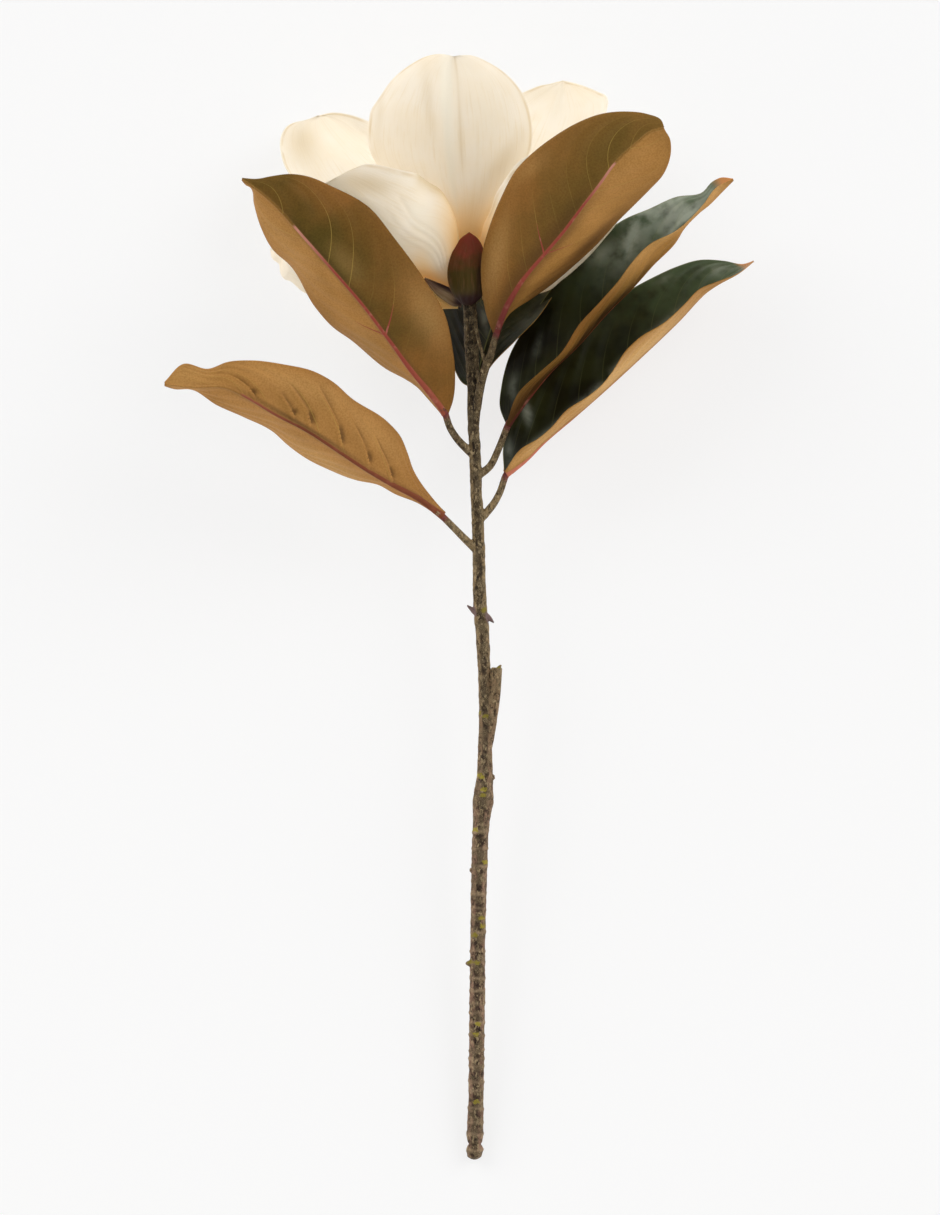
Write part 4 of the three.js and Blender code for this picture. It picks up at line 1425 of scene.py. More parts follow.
@dataclass(frozen=True)
class Bark(Finish):
    """Ringed brown bark with darker furrows, tan threads, yellow lichen and purplish scars, and a dark band
    of painted shade down the stem's front and back.
    """

    name: str = "bark"
    brown: Colour = srgb(136, 106, 86)
    dark: Colour = srgb(30, 21, 14)
    tan: Colour = srgb(182, 160, 122)
    young: Colour = srgb(150, 127, 90)
    shaded: Colour = srgb(104, 86, 60)
    ring: Colour = srgb(172, 148, 116)
    lichen: Colour = srgb(156, 142, 52)
    scar: Colour = srgb(124, 102, 98)
    blush: Colour = srgb(122, 60, 58)

    def threads(self, n: Nodes) -> Socket:
        """Returns the strength of the fine tan threads."""
        bent = n.mix(0.15, n.place(), n.add("TexNoise", Vector=n.place(), Scale=240.0).outputs["Color"])
        cells = n.add("TexVoronoi", {"feature": "DISTANCE_TO_EDGE"}, Vector=bent, Scale=420.0)
        return n.times(n.step(cells.outputs["Distance"], 0.12, 0.03), n.step(n.noise(0.006, 3), 0.44, 0.6))

    def surface(self, n: Nodes) -> Socket:
        """Returns the shader."""
        upward, long, thread = n.value("upward"), n.stretched((1, 0.3, 1)), self.threads(n)
        patches = n.step(n.noise(0.005, 5, long, 0.65), 0.42, 0.6)
        flecks = n.step(n.noise(0.0026, 5, n.stretched((1, 0.6, 1)), 0.8), 0.47, 0.57)
        chips = n.step(n.noise(0.0021, 4, n.stretched((1, 0.5, 1)), 0.8), 0.53, 0.62)
        colour = n.mix(n.step(upward, 0.3, 0.75), self.brown, self.young)
        colour = n.tint(colour, self.shaded, n.step(upward, 0.76, 0.86))
        # Painted shade: a ragged dark band down the stem's front and back, which get less light than its
        # sides.
        ragged = n.times(n.wobble(0.0035, 4, long, 0.7), 1.6)
        core = n.step(n.plus(n.value("core"), ragged), 0.3, 0.8)
        colour = n.tint(colour, self.dark, core, 0.78)
        colour = n.tint(colour, self.dark, patches, 0.3)
        colour = n.tint(colour, self.dark, flecks, 0.84)
        colour = n.tint(colour, self.tan, chips, 0.74)
        colour = n.tint(colour, self.tan, thread, 0.75)
        colour = n.tint(colour, self.ring, n.value("ring"), 0.6)
        colour = n.tint(colour, self.scar, n.value("scar"))
        colour = n.tint(colour, self.blush, n.value("blush"))
        torn = n.times(n.wobble(0.0014, 4, None, 0.7), 2.2)
        moss = n.step(n.plus(n.value("lichen"), torn), 0.55, 0.7)
        colour = n.tint(colour, self.lichen, moss, 0.85)
        height = n.plus(n.noise(0.0016, 4, None, 0.6), n.times(thread, 0.5))
        normal = n.bump(height, 0.0008, 0.7, n.bump(patches, 0.0008, 0.4))
        return n.coat(colour, n.plus(0.55, n.times(patches, 0.25)), normal, 0.15)


@dataclass(frozen=True)
class Soft(Finish):
    """A soft matte finish that goes from one colour at the foot of a shape to another at its tip."""

    foot: Colour
    tip: Colour
    turns: Span = (0.2, 0.8)
    lit_through: float = 0.15

    def surface(self, n: Nodes) -> Socket:
        """Returns the shader."""
        turn = n.plus(n.value("length"), n.times(n.wobble(0.002, 3), 0.4))
        colour = n.mix(n.step(turn, *self.turns), self.foot, self.tip)
        coat = n.coat(colour, 0.6, n.bump(n.noise(0.0007, 3), 0.0003, 0.5), Sheen_Weight=0.2)
        glow = n.add("BsdfTranslucent", Color=colour).outputs[0]
        return n.joined(n.add("MixShader", Fac=self.lit_through), coat, glow)


# ---- stem ----


@dataclass
class Stem:
    """The woody stem in one piece with its side branch, stalks, thin twig, stub and knots."""

    name: str = "stem_bark"
    node: str = "stem"
    # Height in the photograph and the stem's left and right side there, from the cut end up.
    sides: Sequence[Place] = (
        (1156.5, 467.5, 481.5), (1150, 466, 483), (1143, 467.4, 482.6), (1134, 466.6, 483.4),
        (1100, 468.3, 483.6), (1060, 469, 484.2), (1023, 469.2, 484.6), (985, 469.6, 485),
        (945, 470.4, 485.2), (922, 470.6, 485.6), (880, 471, 487), (850, 471.8, 488), (832, 472.6, 488.4),
        (815, 472.8, 491), (802, 472.3, 493.7), (788, 474.6, 493), (775, 476.8, 493), (760, 477.6, 492.3),
        (735, 478.6, 492), (713, 479, 491.6), (690, 478.6, 491), (675, 478, 490.4), (655, 477, 490),
        (636, 475.7, 489.5), (607, 473.4, 487), (585, 472.6, 486), (565, 472.5, 485.3), (548, 472.6, 485),
        (520, 471.5, 483.6), (490, 470.4, 482), (450, 469, 480.7), (422, 467.4, 479), (388, 467, 479),
        (367, 466, 479), (340, 464, 478), (318, 463.6, 477.6), (303, 462.8, 476.5), (298, 463.4, 476),
    )
    depths: Sequence[float] = (0, 0.4, 0, 0.3, 0.3, 0, 0, 0.3, 0.3, 0, 0)
    rings: Sequence[float] = (
        832, 848, 865, 893, 908, 932, 951, 963, 978, 990, 1003, 1012, 1023, 1035, 1050, 1058, 1066, 1081,
        1090, 1108, 1122, 1133, 1150,
    )
    ring_height: float = 0.5
    ring_width: float = 1.1
    groove: float = 1144
    groove_depth: float = 0.9
    coarse: float = 0.22  # height of the larger lumps
    fine: float = 0.16  # height of the smaller ones
    crust: float = 0.18  # height of the lichen
    thick: Span = (7.5, 9.5)  # distances from the stem's middle between which that relief ends
    lichens: Sequence[Pixel] = (
        (479, 775), (482, 777), (484, 790), (483, 795), (475, 830), (485, 862), (481, 918), (483, 926),
        (475, 935), (477, 963), (470, 962), (478, 1024), (476, 1034), (476, 1102), (478, 713), (486, 716),
        (484, 610),
    )
    voxel: float = 0.56
    stalks: dict[str, list[Place]] = field(default_factory=dict)  # how each stalk runs into its leaf
    stalk_radii: Sequence[float] = (3, 2.6, 2.4, 2.3, 2.2, 1.5, 0.7)
    # Side branch, thin twig, stub, its hook, and the right, left and low knot.
    growths: Sequence[Rod] = (
        Rod(((0, 490, -1), (1, 505, 3), (4.6, 526, 9), (8.6, 540, 13)), (3, 3, 2.9, 2.9)),
        Rod(((8.3, 538, 12), (4, 551, 9.5), (1.2, 563, 7), (-1.5, 577, 3)), (1.6, 1.3, 1.3, 1.4)),
        Rod(((7.3, 270, 0), (10, 288, 1), (13.6, 312, 1.5), (15.3, 333, 2)), (3.2, 3.9, 3.9, 3.7)),
        Rod(((15.5, 331, 2), (17, 333.6, 2), (18.4, 334.8, 2)), (1.8, 1.1, 0.6)),
        Rod(((8, 258, 0), (11.5, 258.5, 0), (14, 258.6, 0)), (3.4, 2.6, 1.2)),
        Rod(((2, 195.5, 0), (-1.6, 195.4, 0), (-3.5, 195.5, 0)), (3, 2.2, 1)),
        Rod(((1, 132, 0), (-3.2, 132, 0), (-5.4, 132.3, 0)), (3, 2.2, 0.9)),
    )
    stalk_starts: dict[str, Sequence[Place]] = field(
        default_factory=lambda: {
            "leaf_upper_left": ((-1, 478, 0), (-10.5, 487, 4), (-16.6, 496, 8.6)),
            "leaf_lower_left": ((1.5, 413, 0), (-7, 421, 3.5), (-14.5, 428.6, 6.6)),
            "leaf_upper_right": ((8, 538, 12.5), (11, 545, 13.6), (12.6, 551.5, 14.3)),
            "leaf_middle_right": ((1.5, 463, 0), (10.5, 470, 0.8), (15.9, 480.5, 1.5)),
            "leaf_lower_right": ((3, 433, 0), (12, 443, -1.2), (17.4, 452.5, -2.2)),
            "leaf_back": ((-0.8, 508, 0), (0.2, 513.5, -5), (1.2, 518.5, -9)),
        }
    )
    scars: Sequence[Rod] = (
        Rod(((3.5, 368, 0), (-0.8, 372, 0.5), (-5, 375.5, 1)), (2.6, 1.8, 0.5)),
        Rod(((5.5, 370, 0), (9.6, 367, 0.6), (13.2, 363.5, 1)), (2.6, 1.9, 0.5)),
    )

    def trunk(self) -> tuple[Array, Array]:
        """Returns the trunk's points and faces, with its cut end rounded off and its top end closed."""
        table = np.array(self.sides)
        heights = np.arange(table[0, 0], table[-1, 0], -1.0)
        order = np.argsort(table[:, 0])
        left = np.interp(heights, table[order, 0], table[order, 1])
        right = np.interp(heights, table[order, 0], table[order, 2])
        smooth = np.array([1, 2, 3, 2, 1]) / 9
        left, right = (np.convolve(np.pad(side, 2, "edge"), smooth, "valid") for side in (left, right))
        depth = along(self.depths, np.linspace(0, 1, len(heights)))
        middle = PICTURE.plane(np.stack([(left + right) / 2, heights], 1), depth)
        radius = (right - left) / 2 * PICTURE.scale
        caps = [0.0, 0.45, 0.75, 0.93]
        lead = np.array([[middle[0, 0], middle[0, 1] - 2.2 * math.cos(math.pi / 2 * c)] for c in caps])
        middle = np.concatenate([lead, middle])
        radius = np.concatenate([[radius[0] * c for c in caps], radius])
        depth = np.concatenate([np.zeros(len(caps)), depth])
        sides = 28
        turn = 2 * np.pi * np.arange(sides) / sides
        x = middle[:, 0, None] + radius[:, None] * np.cos(turn)
        y = np.broadcast_to(middle[:, 1, None], x.shape)
        z = depth[:, None] - radius[:, None] * np.sin(turn)
        points = np.stack([x, y, z], -1).reshape(-1, 3)
        last = np.array([[middle[-1, 0], middle[-1, 1], depth[-1]]])
        faces = grid_faces(len(middle), sides, closed=True)
        k = np.arange(sides)
        top, end = (len(middle) - 1) * sides, len(points)
        cap = np.stack([np.full_like(k, end), top + k, top + (k + 1) % sides, top + (k + 1) % sides], 1)
        return np.concatenate([points, last]), np.concatenate([faces, cap])

    def stalk_rods(self) -> list[Rod]:
        """Returns each stalk, from inside the stem into the midrib of its leaf."""
        rods = []
        for leaf, start in self.stalk_starts.items():
            path = [*start, *self.stalks[leaf]]
            rods.append(Rod(path, self.stalk_radii[: len(path)]))
        return rods

    def joined(self) -> tuple[Array, Array]:
        """Returns points and faces of all the wood as one skin, in the branch's frame."""
        heap = Heap()
        heap.add(*self.trunk())
        for rod in (*self.growths, *self.scars, *self.stalk_rods()):
            heap.add(*rod.mesh()[:2])
        mesh = bpy.data.meshes.new("wood")
        mesh.from_pydata(np.concatenate(heap.points).tolist(), [], heap.corners())
        rough = bpy.data.objects.new("wood", mesh)
        bpy.context.scene.collection.objects.link(rough)
        remesh = rough.modifiers.new("skin", "REMESH")
        remesh.mode = "VOXEL"
        remesh.voxel_size = self.voxel
        evaluated = rough.evaluated_get(bpy.context.evaluated_depsgraph_get())
        skin = bpy.data.meshes.new_from_object(evaluated)
        found = np.zeros(len(skin.vertices) * 3)
        skin.vertices.foreach_get("co", found)
        shapes = [tuple(face.vertices) for face in skin.polygons]
        corners = np.array([shape + shape[-1:] * (4 - len(shape)) for shape in shapes])
        bpy.data.objects.remove(rough)
        bpy.data.meshes.remove(skin)
        return found.reshape(-1, 3), corners

    def level(self, height: float) -> float:
        """Returns the Y in the branch's frame of a height in the photograph."""
        return PICTURE.plane(np.array([PICTURE.foot[0], height]), 0)[1]

    def ring_share(self, points: Array) -> Array:
        """Returns 1 on each ring of bark, falling to 0 beside it."""
        random = np.random.default_rng(5)
        lumps = Lumps(8)
        share = np.zeros(len(points))
        for height in self.rings:
            level = self.level(height)
            tilt = random.uniform(-0.12, 0.12, 2)
            level = level + points[:, 0] * tilt[0] + points[:, 2] * tilt[1]
            level = level + 0.5 * lumps.at(points + height, 3)
            part = smooth_step(-0.5, 0.3, lumps.at(points * np.array([1, 0.2, 1]) + 7 * height, 5))
            ring = np.exp(-(((points[:, 1] - level) / self.ring_width) ** 2))
            share = np.maximum(share, ring * (0.45 + 0.55 * part))
        return share

    def spots(self, points: Array) -> Array:
        """Returns how much lichen grows at each point: on the photograph's spots and a few behind."""
        random = np.random.default_rng(12)
        share = np.zeros(len(points))
        shown = PICTURE.pixels(points)
        facing = smooth_step(-2, 2, points[:, 2])
        for spot in self.lichens:
            away = np.linalg.norm((shown - np.array(spot)) * np.array([0.7, 1]), axis=1)
            share = np.maximum(share, np.exp(-((away / 3) ** 2)) * facing)
        for level in random.uniform(40, 400, 14):
            away = np.abs(points[:, 1] - level)
            share = np.maximum(share, 0.8 * np.exp(-((away / 3) ** 2)) * (1 - facing))
        return share

    def marks(self, points: Array) -> dict[str, Array]:
        """Returns what the bark's material reads at each point."""
        scar = np.zeros(len(points))
        for rod in self.scars:
            line = along(rod.path, np.linspace(0, 1, 12))
            away = np.min(np.linalg.norm(points[:, None] - line[None], axis=2), axis=1)
            scar = np.maximum(scar, smooth_step(4.2, 2.4, away))
        rim = np.exp(-((np.linalg.norm(points - np.array([15.3, 333, 2]), axis=1) / 3.6) ** 2))
        blush = np.zeros(len(points))
        for path in self.stalks.values():
            away = np.linalg.norm(points - np.array(path[0]), axis=1)
            blush = np.maximum(blush, smooth_step(6.5, 1.5, away))
        # core: a band down the stem's front and back, which the bark darkens as painted shade.
        middle = np.interp(points[:, 1], *self.axis())
        core = np.exp(-(((points[:, 0] - middle) / 2.6) ** 2))
        return {
            "upward": points[:, 1] / 580, "ring": self.ring_share(points),
            "lichen": np.maximum(self.spots(points), rim), "scar": scar, "blush": blush, "core": core,
        }

    def build(self) -> Thing:
        """Builds the stem, with rings, furrows and lumps raised from its skin."""
        points, faces = self.joined()
        marks = self.marks(points)
        axis = np.interp(points[:, 1], *self.axis())
        outward = points - np.stack([axis, points[:, 1], np.zeros(len(points))], 1)
        near = np.linalg.norm(outward, axis=1)
        outward = outward / np.maximum(near, 0.5)[:, None]
        lumps = Lumps(21)
        height = self.ring_height * marks["ring"] + self.coarse * lumps.at(points, 5)
        height = height + self.fine * lumps.at(points, 1.9) + self.crust * np.clip(marks["lichen"], 0, 1)
        beside = points[:, 1] - self.level(self.groove)
        height = height - self.groove_depth * np.exp(-((beside / self.ring_width) ** 2))
        heap = Heap()
        lift = height * (1 - smooth_step(*self.thick, near))
        heap.add(points + outward * lift[:, None], faces, 0, **marks)
        made = heap.build(self.name, [Bark().make()])
        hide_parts(self.node)
        return made

    def axis(self) -> tuple[Array, Array]:
        """Returns heights along the stem and the X of its middle there."""
        table = np.array(self.sides)
        middle = np.stack([(table[:, 1] + table[:, 2]) / 2, table[:, 0]], 1)
        places = PICTURE.plane(middle, np.zeros(len(table)))
        return places[:, 1], places[:, 0]


# ---- leaves ----


@dataclass
class Foliage:
    """The six leaves, each with a glossy upper face and a felted underside."""

    leaves: Sequence[Leaf] = ()
    undersides: dict[str, Underside] = field(default_factory=dict)

    def build(self) -> list[Thing]:
        """Builds each leaf over its solid."""
        upper = UpperFace().make()
        made = []
        for leaf in self.leaves:
            finishes = [upper, self.undersides[leaf.name].make()]
            made.append(leaf.build(leaf.name.replace("leaf", "blade"), finishes, Slot.LEAF))
        return made


def magnolia_leaves() -> Foliage:
    """Returns the six leaves of this branch."""
    folded = (-40, -36, -34, -36, -40, -40)
    # Side veins of the lower left leaf that stand up, each with a hollow beside it.
    side_folds = []
    for foot, reach in ((0.2, 0.62), (0.29, 0.6), (0.4, 0.8), (0.515, 0.62), (0.575, 0.4), (0.71, 0.45)):
        turn = (-0.5 * reach, foot + 0.06 * reach)
        end = (-reach, foot + 0.2 * reach)
        side_folds += [
            Crease((-0.03, foot), turn, -1.5, 0.9), Crease(turn, end, -1.1, 0.9),
            Crease((-0.12, foot + 0.006), turn, 1.7, 4.5, side=-1), Crease(turn, end, 1.1, 3.5, side=-1),
        ]
    upright = (100, 98, 95, 94, 95, 96)
    # The leaves' patches paint highlights and shade, and in places the leaf's own tone.
    leaves = [
        Leaf(
            name="leaf_upper_left",
            midline=(
                (-20, 506, 12), (-44, 536, 35), (-67, 566, 58), (-92, 596, 79), (-120, 628, 94),
                (-154, 656, 100),
            ),
            faces=(0, 0, -1), widths=(3, 21, 34, 41, 44, 45.5, 45.5, 43, 37, 23, 1.5),
            right=(70, 64, 52, 48, 56, 56), left=(10, 6, -2, -2, 0, 4), left_start=0.55, fork=0.34,
            patches=tinted(
                (428, 312, 50, 22, 62, 0.4), (345, 262, 34, 14, 50, 0.3), (305, 212, 34, 20, 40, -0.1),
                (286, 245, 64, 12, 52, 0.35), (372, 345, 50, 9, 46, 0.3),
            ),
        ),
        Leaf(
            name="leaf_lower_left", rows=190, half_columns=52,
            midline=(
                (-21.5, 436, 9), (-56, 457, 27), (-90, 478, 43), (-126, 500, 56), (-165, 519, 64),
                (-207, 523, 66),
            ),
            faces=(0, 0, -1), widths=(3, 13, 26, 36, 39, 39, 36.5, 31, 23, 14, 1.5),
            right=(76, 74, 58, 56, 62, 60), left=(30, 24, 14, 10, 16, 20), wave_height=3, waves=4,
            right_start=0.2, veins=11, fork=0.2, quilting=0.6, creases=side_folds,
            patches=tinted(
                (185, 375, 30, 22, 0, 0.3), (425, 500, 24, 14, 40, -0.25), (290, 380, 70, 16, 20, 0.4),
                (330, 465, 80, 10, 30, 0.5), (375, 435, 50, 16, 45, 0.35), (300, 424, 70, 3, 31, -0.5),
            ),
        ),
        Leaf(
            name="leaf_upper_right",
            midline=(
                (14, 559, 15), (30, 590, 41), (52, 615, 65), (74, 641, 85), (97, 669, 98), (127, 695, 103),
            ),
            faces=(0, 0, -1), widths=(3, 19, 31, 40, 45, 48, 47.5, 43.5, 36, 24, 1.5),
            right=(14, 4, -2, -2, 0, 4), left=(70, 60, 50, 46, 36, 40), wave_height=2.2, waves=3,
            right_start=0.3, left_start=0.8, fork=0.36,
            patches=tinted(
                (497, 255, 50, 13, -78, 0.45), (530, 168, 26, 12, -40, 0.3), (548, 205, 40, 14, -60, -0.1),
                (588, 246, 74, 8, -44, -0.7), (628, 165, 40, 14, -46, 0.2), (535, 290, 26, 8, -44, -0.3),
            ),
        ),
        Leaf(
            name="leaf_middle_right",
            midline=(
                (20, 492.5, 2), (47, 525, -3), (77, 561, -7), (105, 594, -8), (138, 630, -8),
                (173, 664, -6),
            ),
            widths=(3, 19, 31, 39, 42, 43, 42, 38, 30, 16, 1.5), right=upright, left=folded, curled=20,
            right_start=0.2, left_start=0.7, quilting=1.0,
            patches=tinted(
                (631, 240, 17, 5, -72, 0.75), (683, 213, 30, 11, -30, 0.55), (680, 224, 26, 3, -42, 0.6),
                (600, 254, 14, 8, -40, 0.4), (538, 348, 16, 5, -75, 0.35), (513, 388, 16, 6, -80, 0.5),
                (660, 200, 44, 12, -22, 0.75), (716, 186, 14, 9, -40, 0.45), (632, 248, 50, 22, -45, 0.5),
            ),
        ),
        Leaf(
            name="leaf_lower_right",
            midline=(
                (22.5, 462.5, -3), (57, 502, -15), (91, 530, -26), (125, 557, -33), (158, 585, -38),
                (189, 606, -40),
            ),
            widths=(3, 20, 33, 40, 44, 45, 44, 40, 32, 20, 1.5), right=upright, left=folded, curled=20,
            right_start=0.45, left_start=0.9, quilting=1.0,
            patches=tinted(
                (527, 413, 13, 5, 78, 0.75), (716, 270, 20, 8, 0, 0.45), (509, 452, 16, 6, 90, 0.4),
                (664, 279, 14, 6, -20, 0.3), (600, 389, 60, 6, -40, 0.6), (535, 446, 34, 6, -40, 0.6),
                (650, 342, 60, 8, -42, 0.75), (745, 265, 14, 8, -20, 0.4),
            ),
        ),
        Leaf(
            name="leaf_back",
            midline=(
                (2.5, 524, -12), (5, 547, -31), (11, 571, -46), (18, 597, -60), (24, 622, -70),
                (28, 642, -80.2),
            ),
            faces=(0, 0.5, 1), widths=(3, 20, 31, 38, 41, 42, 41, 37, 30, 19, 1.5),
            right=(66, 58, 44, 26, 12, 6), left=(20, 10, 6, 4, 4, 4), curled=20, wave_height=2, waves=3,
            left_start=0.4,
            patches=tinted(
                (530, 322, 40, 10, -42, 0.35), (484, 318, 22, 5, 80, 0.45), (452, 330, 30, 7, 75, 0.12),
            ),
        ),
    ]
    undersides = {
        "leaf_upper_left": Underside("underside_upper_left", fork_reach=17, root_pink=srgb(156, 80, 60)),
        "leaf_lower_left": Underside(
            "underside_lower_left", left_stain=0.25, right_stain=0.05, pink_ends=0.76,
            gold=srgb(178, 128, 68), pink=srgb(124, 66, 42), root_pink=srgb(126, 68, 42),
            pale=srgb(170, 100, 78), rib_along=0.75,
        ),
        "leaf_upper_right": Underside(
            "underside_upper_right", right_stain=0.85, left_stain=0.1, shade_reach=13, shade_share=0.55,
            shade_end=0.8, fork_reach=17,
        ),
        # On this leaf's steep half the stain, the dark foot of the midrib and the wide shade beside it are
        # partly painted shade.
        "leaf_middle_right": Underside(
            "underside_middle_right", right_stain=1.0, left_stain=0.3,
            root_pink=srgb(84, 40, 32), shade_reach=30, shade_share=0.85, shade_end=0.8, stain_end=0.72,
        ),
        "leaf_lower_right": Underside(
            "underside_lower_right", right_stain=0.15, left_stain=0.3,
            root_pink=srgb(190, 112, 88), pink=srgb(186, 106, 84),
        ),
        "leaf_back": Underside("underside_back", right_stain=0.5, left_stain=0.5),
    }
    return Foliage(leaves, undersides)


# ---- bloom ----


@dataclass(frozen=True)
class Spoke:
    """A way out from the bloom's axis."""

    bearing: float

    def at(self, out: float, height: float, twist: float = 0.0) -> Place:
        """Returns a point at that distance from the axis and that height along it."""
        return out * math.sin(self.bearing + twist), height, out * math.cos(self.bearing + twist)


@dataclass
class Bloom:
    """Ten petals, two bud scales, the cone of carpels and the collar of stamens."""

    petals: Sequence[Petal] = ()
    scales: Sequence[Petal] = ()
    # Receptacle: distance from the axis and height, from its foot up.
    receptacle: Sequence[Pixel] = (
        (0, -1), (5.5, -1), (8, 0), (9, 2), (9, 8), (9, 15), (8.8, 20), (6.6, 22.5), (6.6, 29), (7.6, 36),
        (7.4, 42), (5.4, 48), (0, 51),
    )
    rows: int = 60
    sides: int = 40
    carpels: int = 58
    carpel_levels: Span = (30.5, 49)
    stamens: int = 130
    stamen_levels: Span = (22.6, 25.8)
    stamen_lean: Span = (4, 17)  # degrees
    stamen_length: float = 12
    collar_radius: float = 7.6
    golden: float = math.pi * (3 - math.sqrt(5))  # turn from one part of a spiral to the next
    tan: tuple[Colour, Colour, Colour] = (srgb(150, 120, 84), srgb(122, 84, 66), srgb(196, 172, 132))

    def build(self) -> list[Thing]:
        """Builds the petals and scales over their solids, and the middle of the bloom."""
        skins = [PetalSkin("petal_inside", -1).make(), PetalSkin("petal_outside", 1).make()]
        made = [petal.build(f"{petal.name}_skin", skins, Slot.PETAL) for petal in self.petals]
        for scale, finish in zip(self.scales, (BudScale("bud_red"), BudScale("bud_tan", *self.tan))):
            made.append(scale.build(f"{scale.name}_skin", [finish.make()] * 2, Slot.BRACT))
        return [*made, self.core(), self.collar()]

    def carpel(self, k: int, random: np.random.Generator) -> tuple[Rod, Rod]:
        """Returns one carpel and its curled style."""
        low, high = self.carpel_levels
        share = (k + 0.5) / self.carpels
        level = low + (high - low) * share
        out = 6.9 * math.sqrt(max(1 - max(share - 0.35, 0) ** 2 * 1.7, 0.05))
        spoke = Spoke(k * self.golden)
        reach = 5.5 + 2.0 * random.random()
        swirl = random.uniform(-0.25, 0.25)
        body = [spoke.at(out - 2, level - 1), spoke.at(out + 0.8, level), spoke.at(out + 1.5, level + 1.6)]
        curl = [
            spoke.at(out + 1.2, level + 1), spoke.at(out + 2.3, level + 0.45 * reach),
            spoke.at(out + 2.6, level + 0.8 * reach, swirl / 2), spoke.at(out + 1.2, level + reach, swirl),
        ]
        return Rod(body, (1.9, 1.8, 0.9), 8, 10), Rod(curl, (0.95, 0.85, 0.6, 0.3), 12, 8)

    def core(self) -> Thing:
        """Builds the receptacle and the cone of carpels, each with its curled style."""
        heap = Heap()
        profile = along(self.receptacle, np.linspace(0, 1, self.rows))
        turn = 2 * np.pi * np.arange(self.sides) / self.sides
        radius = np.maximum(profile[:, 0, None], 0.02)
        up = np.broadcast_to(profile[:, 1, None], (self.rows, self.sides))
        ring = np.stack([radius * np.sin(turn), up, radius * np.cos(turn)], -1).reshape(-1, 3)
        place = BLOOM.matrix()
        height = np.clip(ring[:, 1] / 50, 0, 1)
        heap.add(placed(place, ring), grid_faces(self.rows, self.sides, closed=True), 0, length=height)
        random = np.random.default_rng(7)
        for k in range(self.carpels):
            ovary, style = self.carpel(k, random)
            points, faces, share = ovary.mesh()
            heap.add(placed(place, points), faces, 0, length=0.35 + 0.4 * share)
            points, faces, share = style.mesh()
            heap.add(placed(place, points), faces, 1, length=share)
        green = Soft("carpel", srgb(128, 124, 62), srgb(190, 184, 110), (0.1, 0.8))
        buff = Soft("style", srgb(206, 196, 124), srgb(150, 104, 74), (0.55, 1.0))
        made = heap.build("carpel_cone", [green.make(), buff.make()])
        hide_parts("flower_core")
        return made

    def stamen(self, k: int, random: np.random.Generator) -> Rod:
        """Returns one strap, which stands on the collar and leans out."""
        low, high = self.stamen_levels
        level = low + (high - low) * (k / self.stamens)
        lean = math.radians(random.uniform(*self.stamen_lean))
        reach = self.stamen_length * random.uniform(0.82, 1.05)
        path = []
        for share in (0, 0.35, 0.7, 1):
            out = self.collar_radius + reach * share * math.sin(lean * (0.4 + 0.6 * share))
            path.append(Spoke(k * self.golden).at(out, level + reach * share * math.cos(lean)))
        return Rod(path, (0.75, 0.8, 0.75, 0.25), 10, 8, 0.6)

    def collar(self) -> Thing:
        """Builds the collar of strap-like stamens round the foot of the cone."""
        heap = Heap()
        random = np.random.default_rng(11)
        for k in range(self.stamens):
            points, faces, share = self.stamen(k, random).mesh()
            heap.add(placed(BLOOM.matrix(), points), faces, 0, length=share)
        straps = Soft("stamen", srgb(150, 84, 88), srgb(238, 220, 168), (0.05, 0.35))
        made = heap.build("stamen_collar", [straps.make()])
        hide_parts("stamens")
        return made


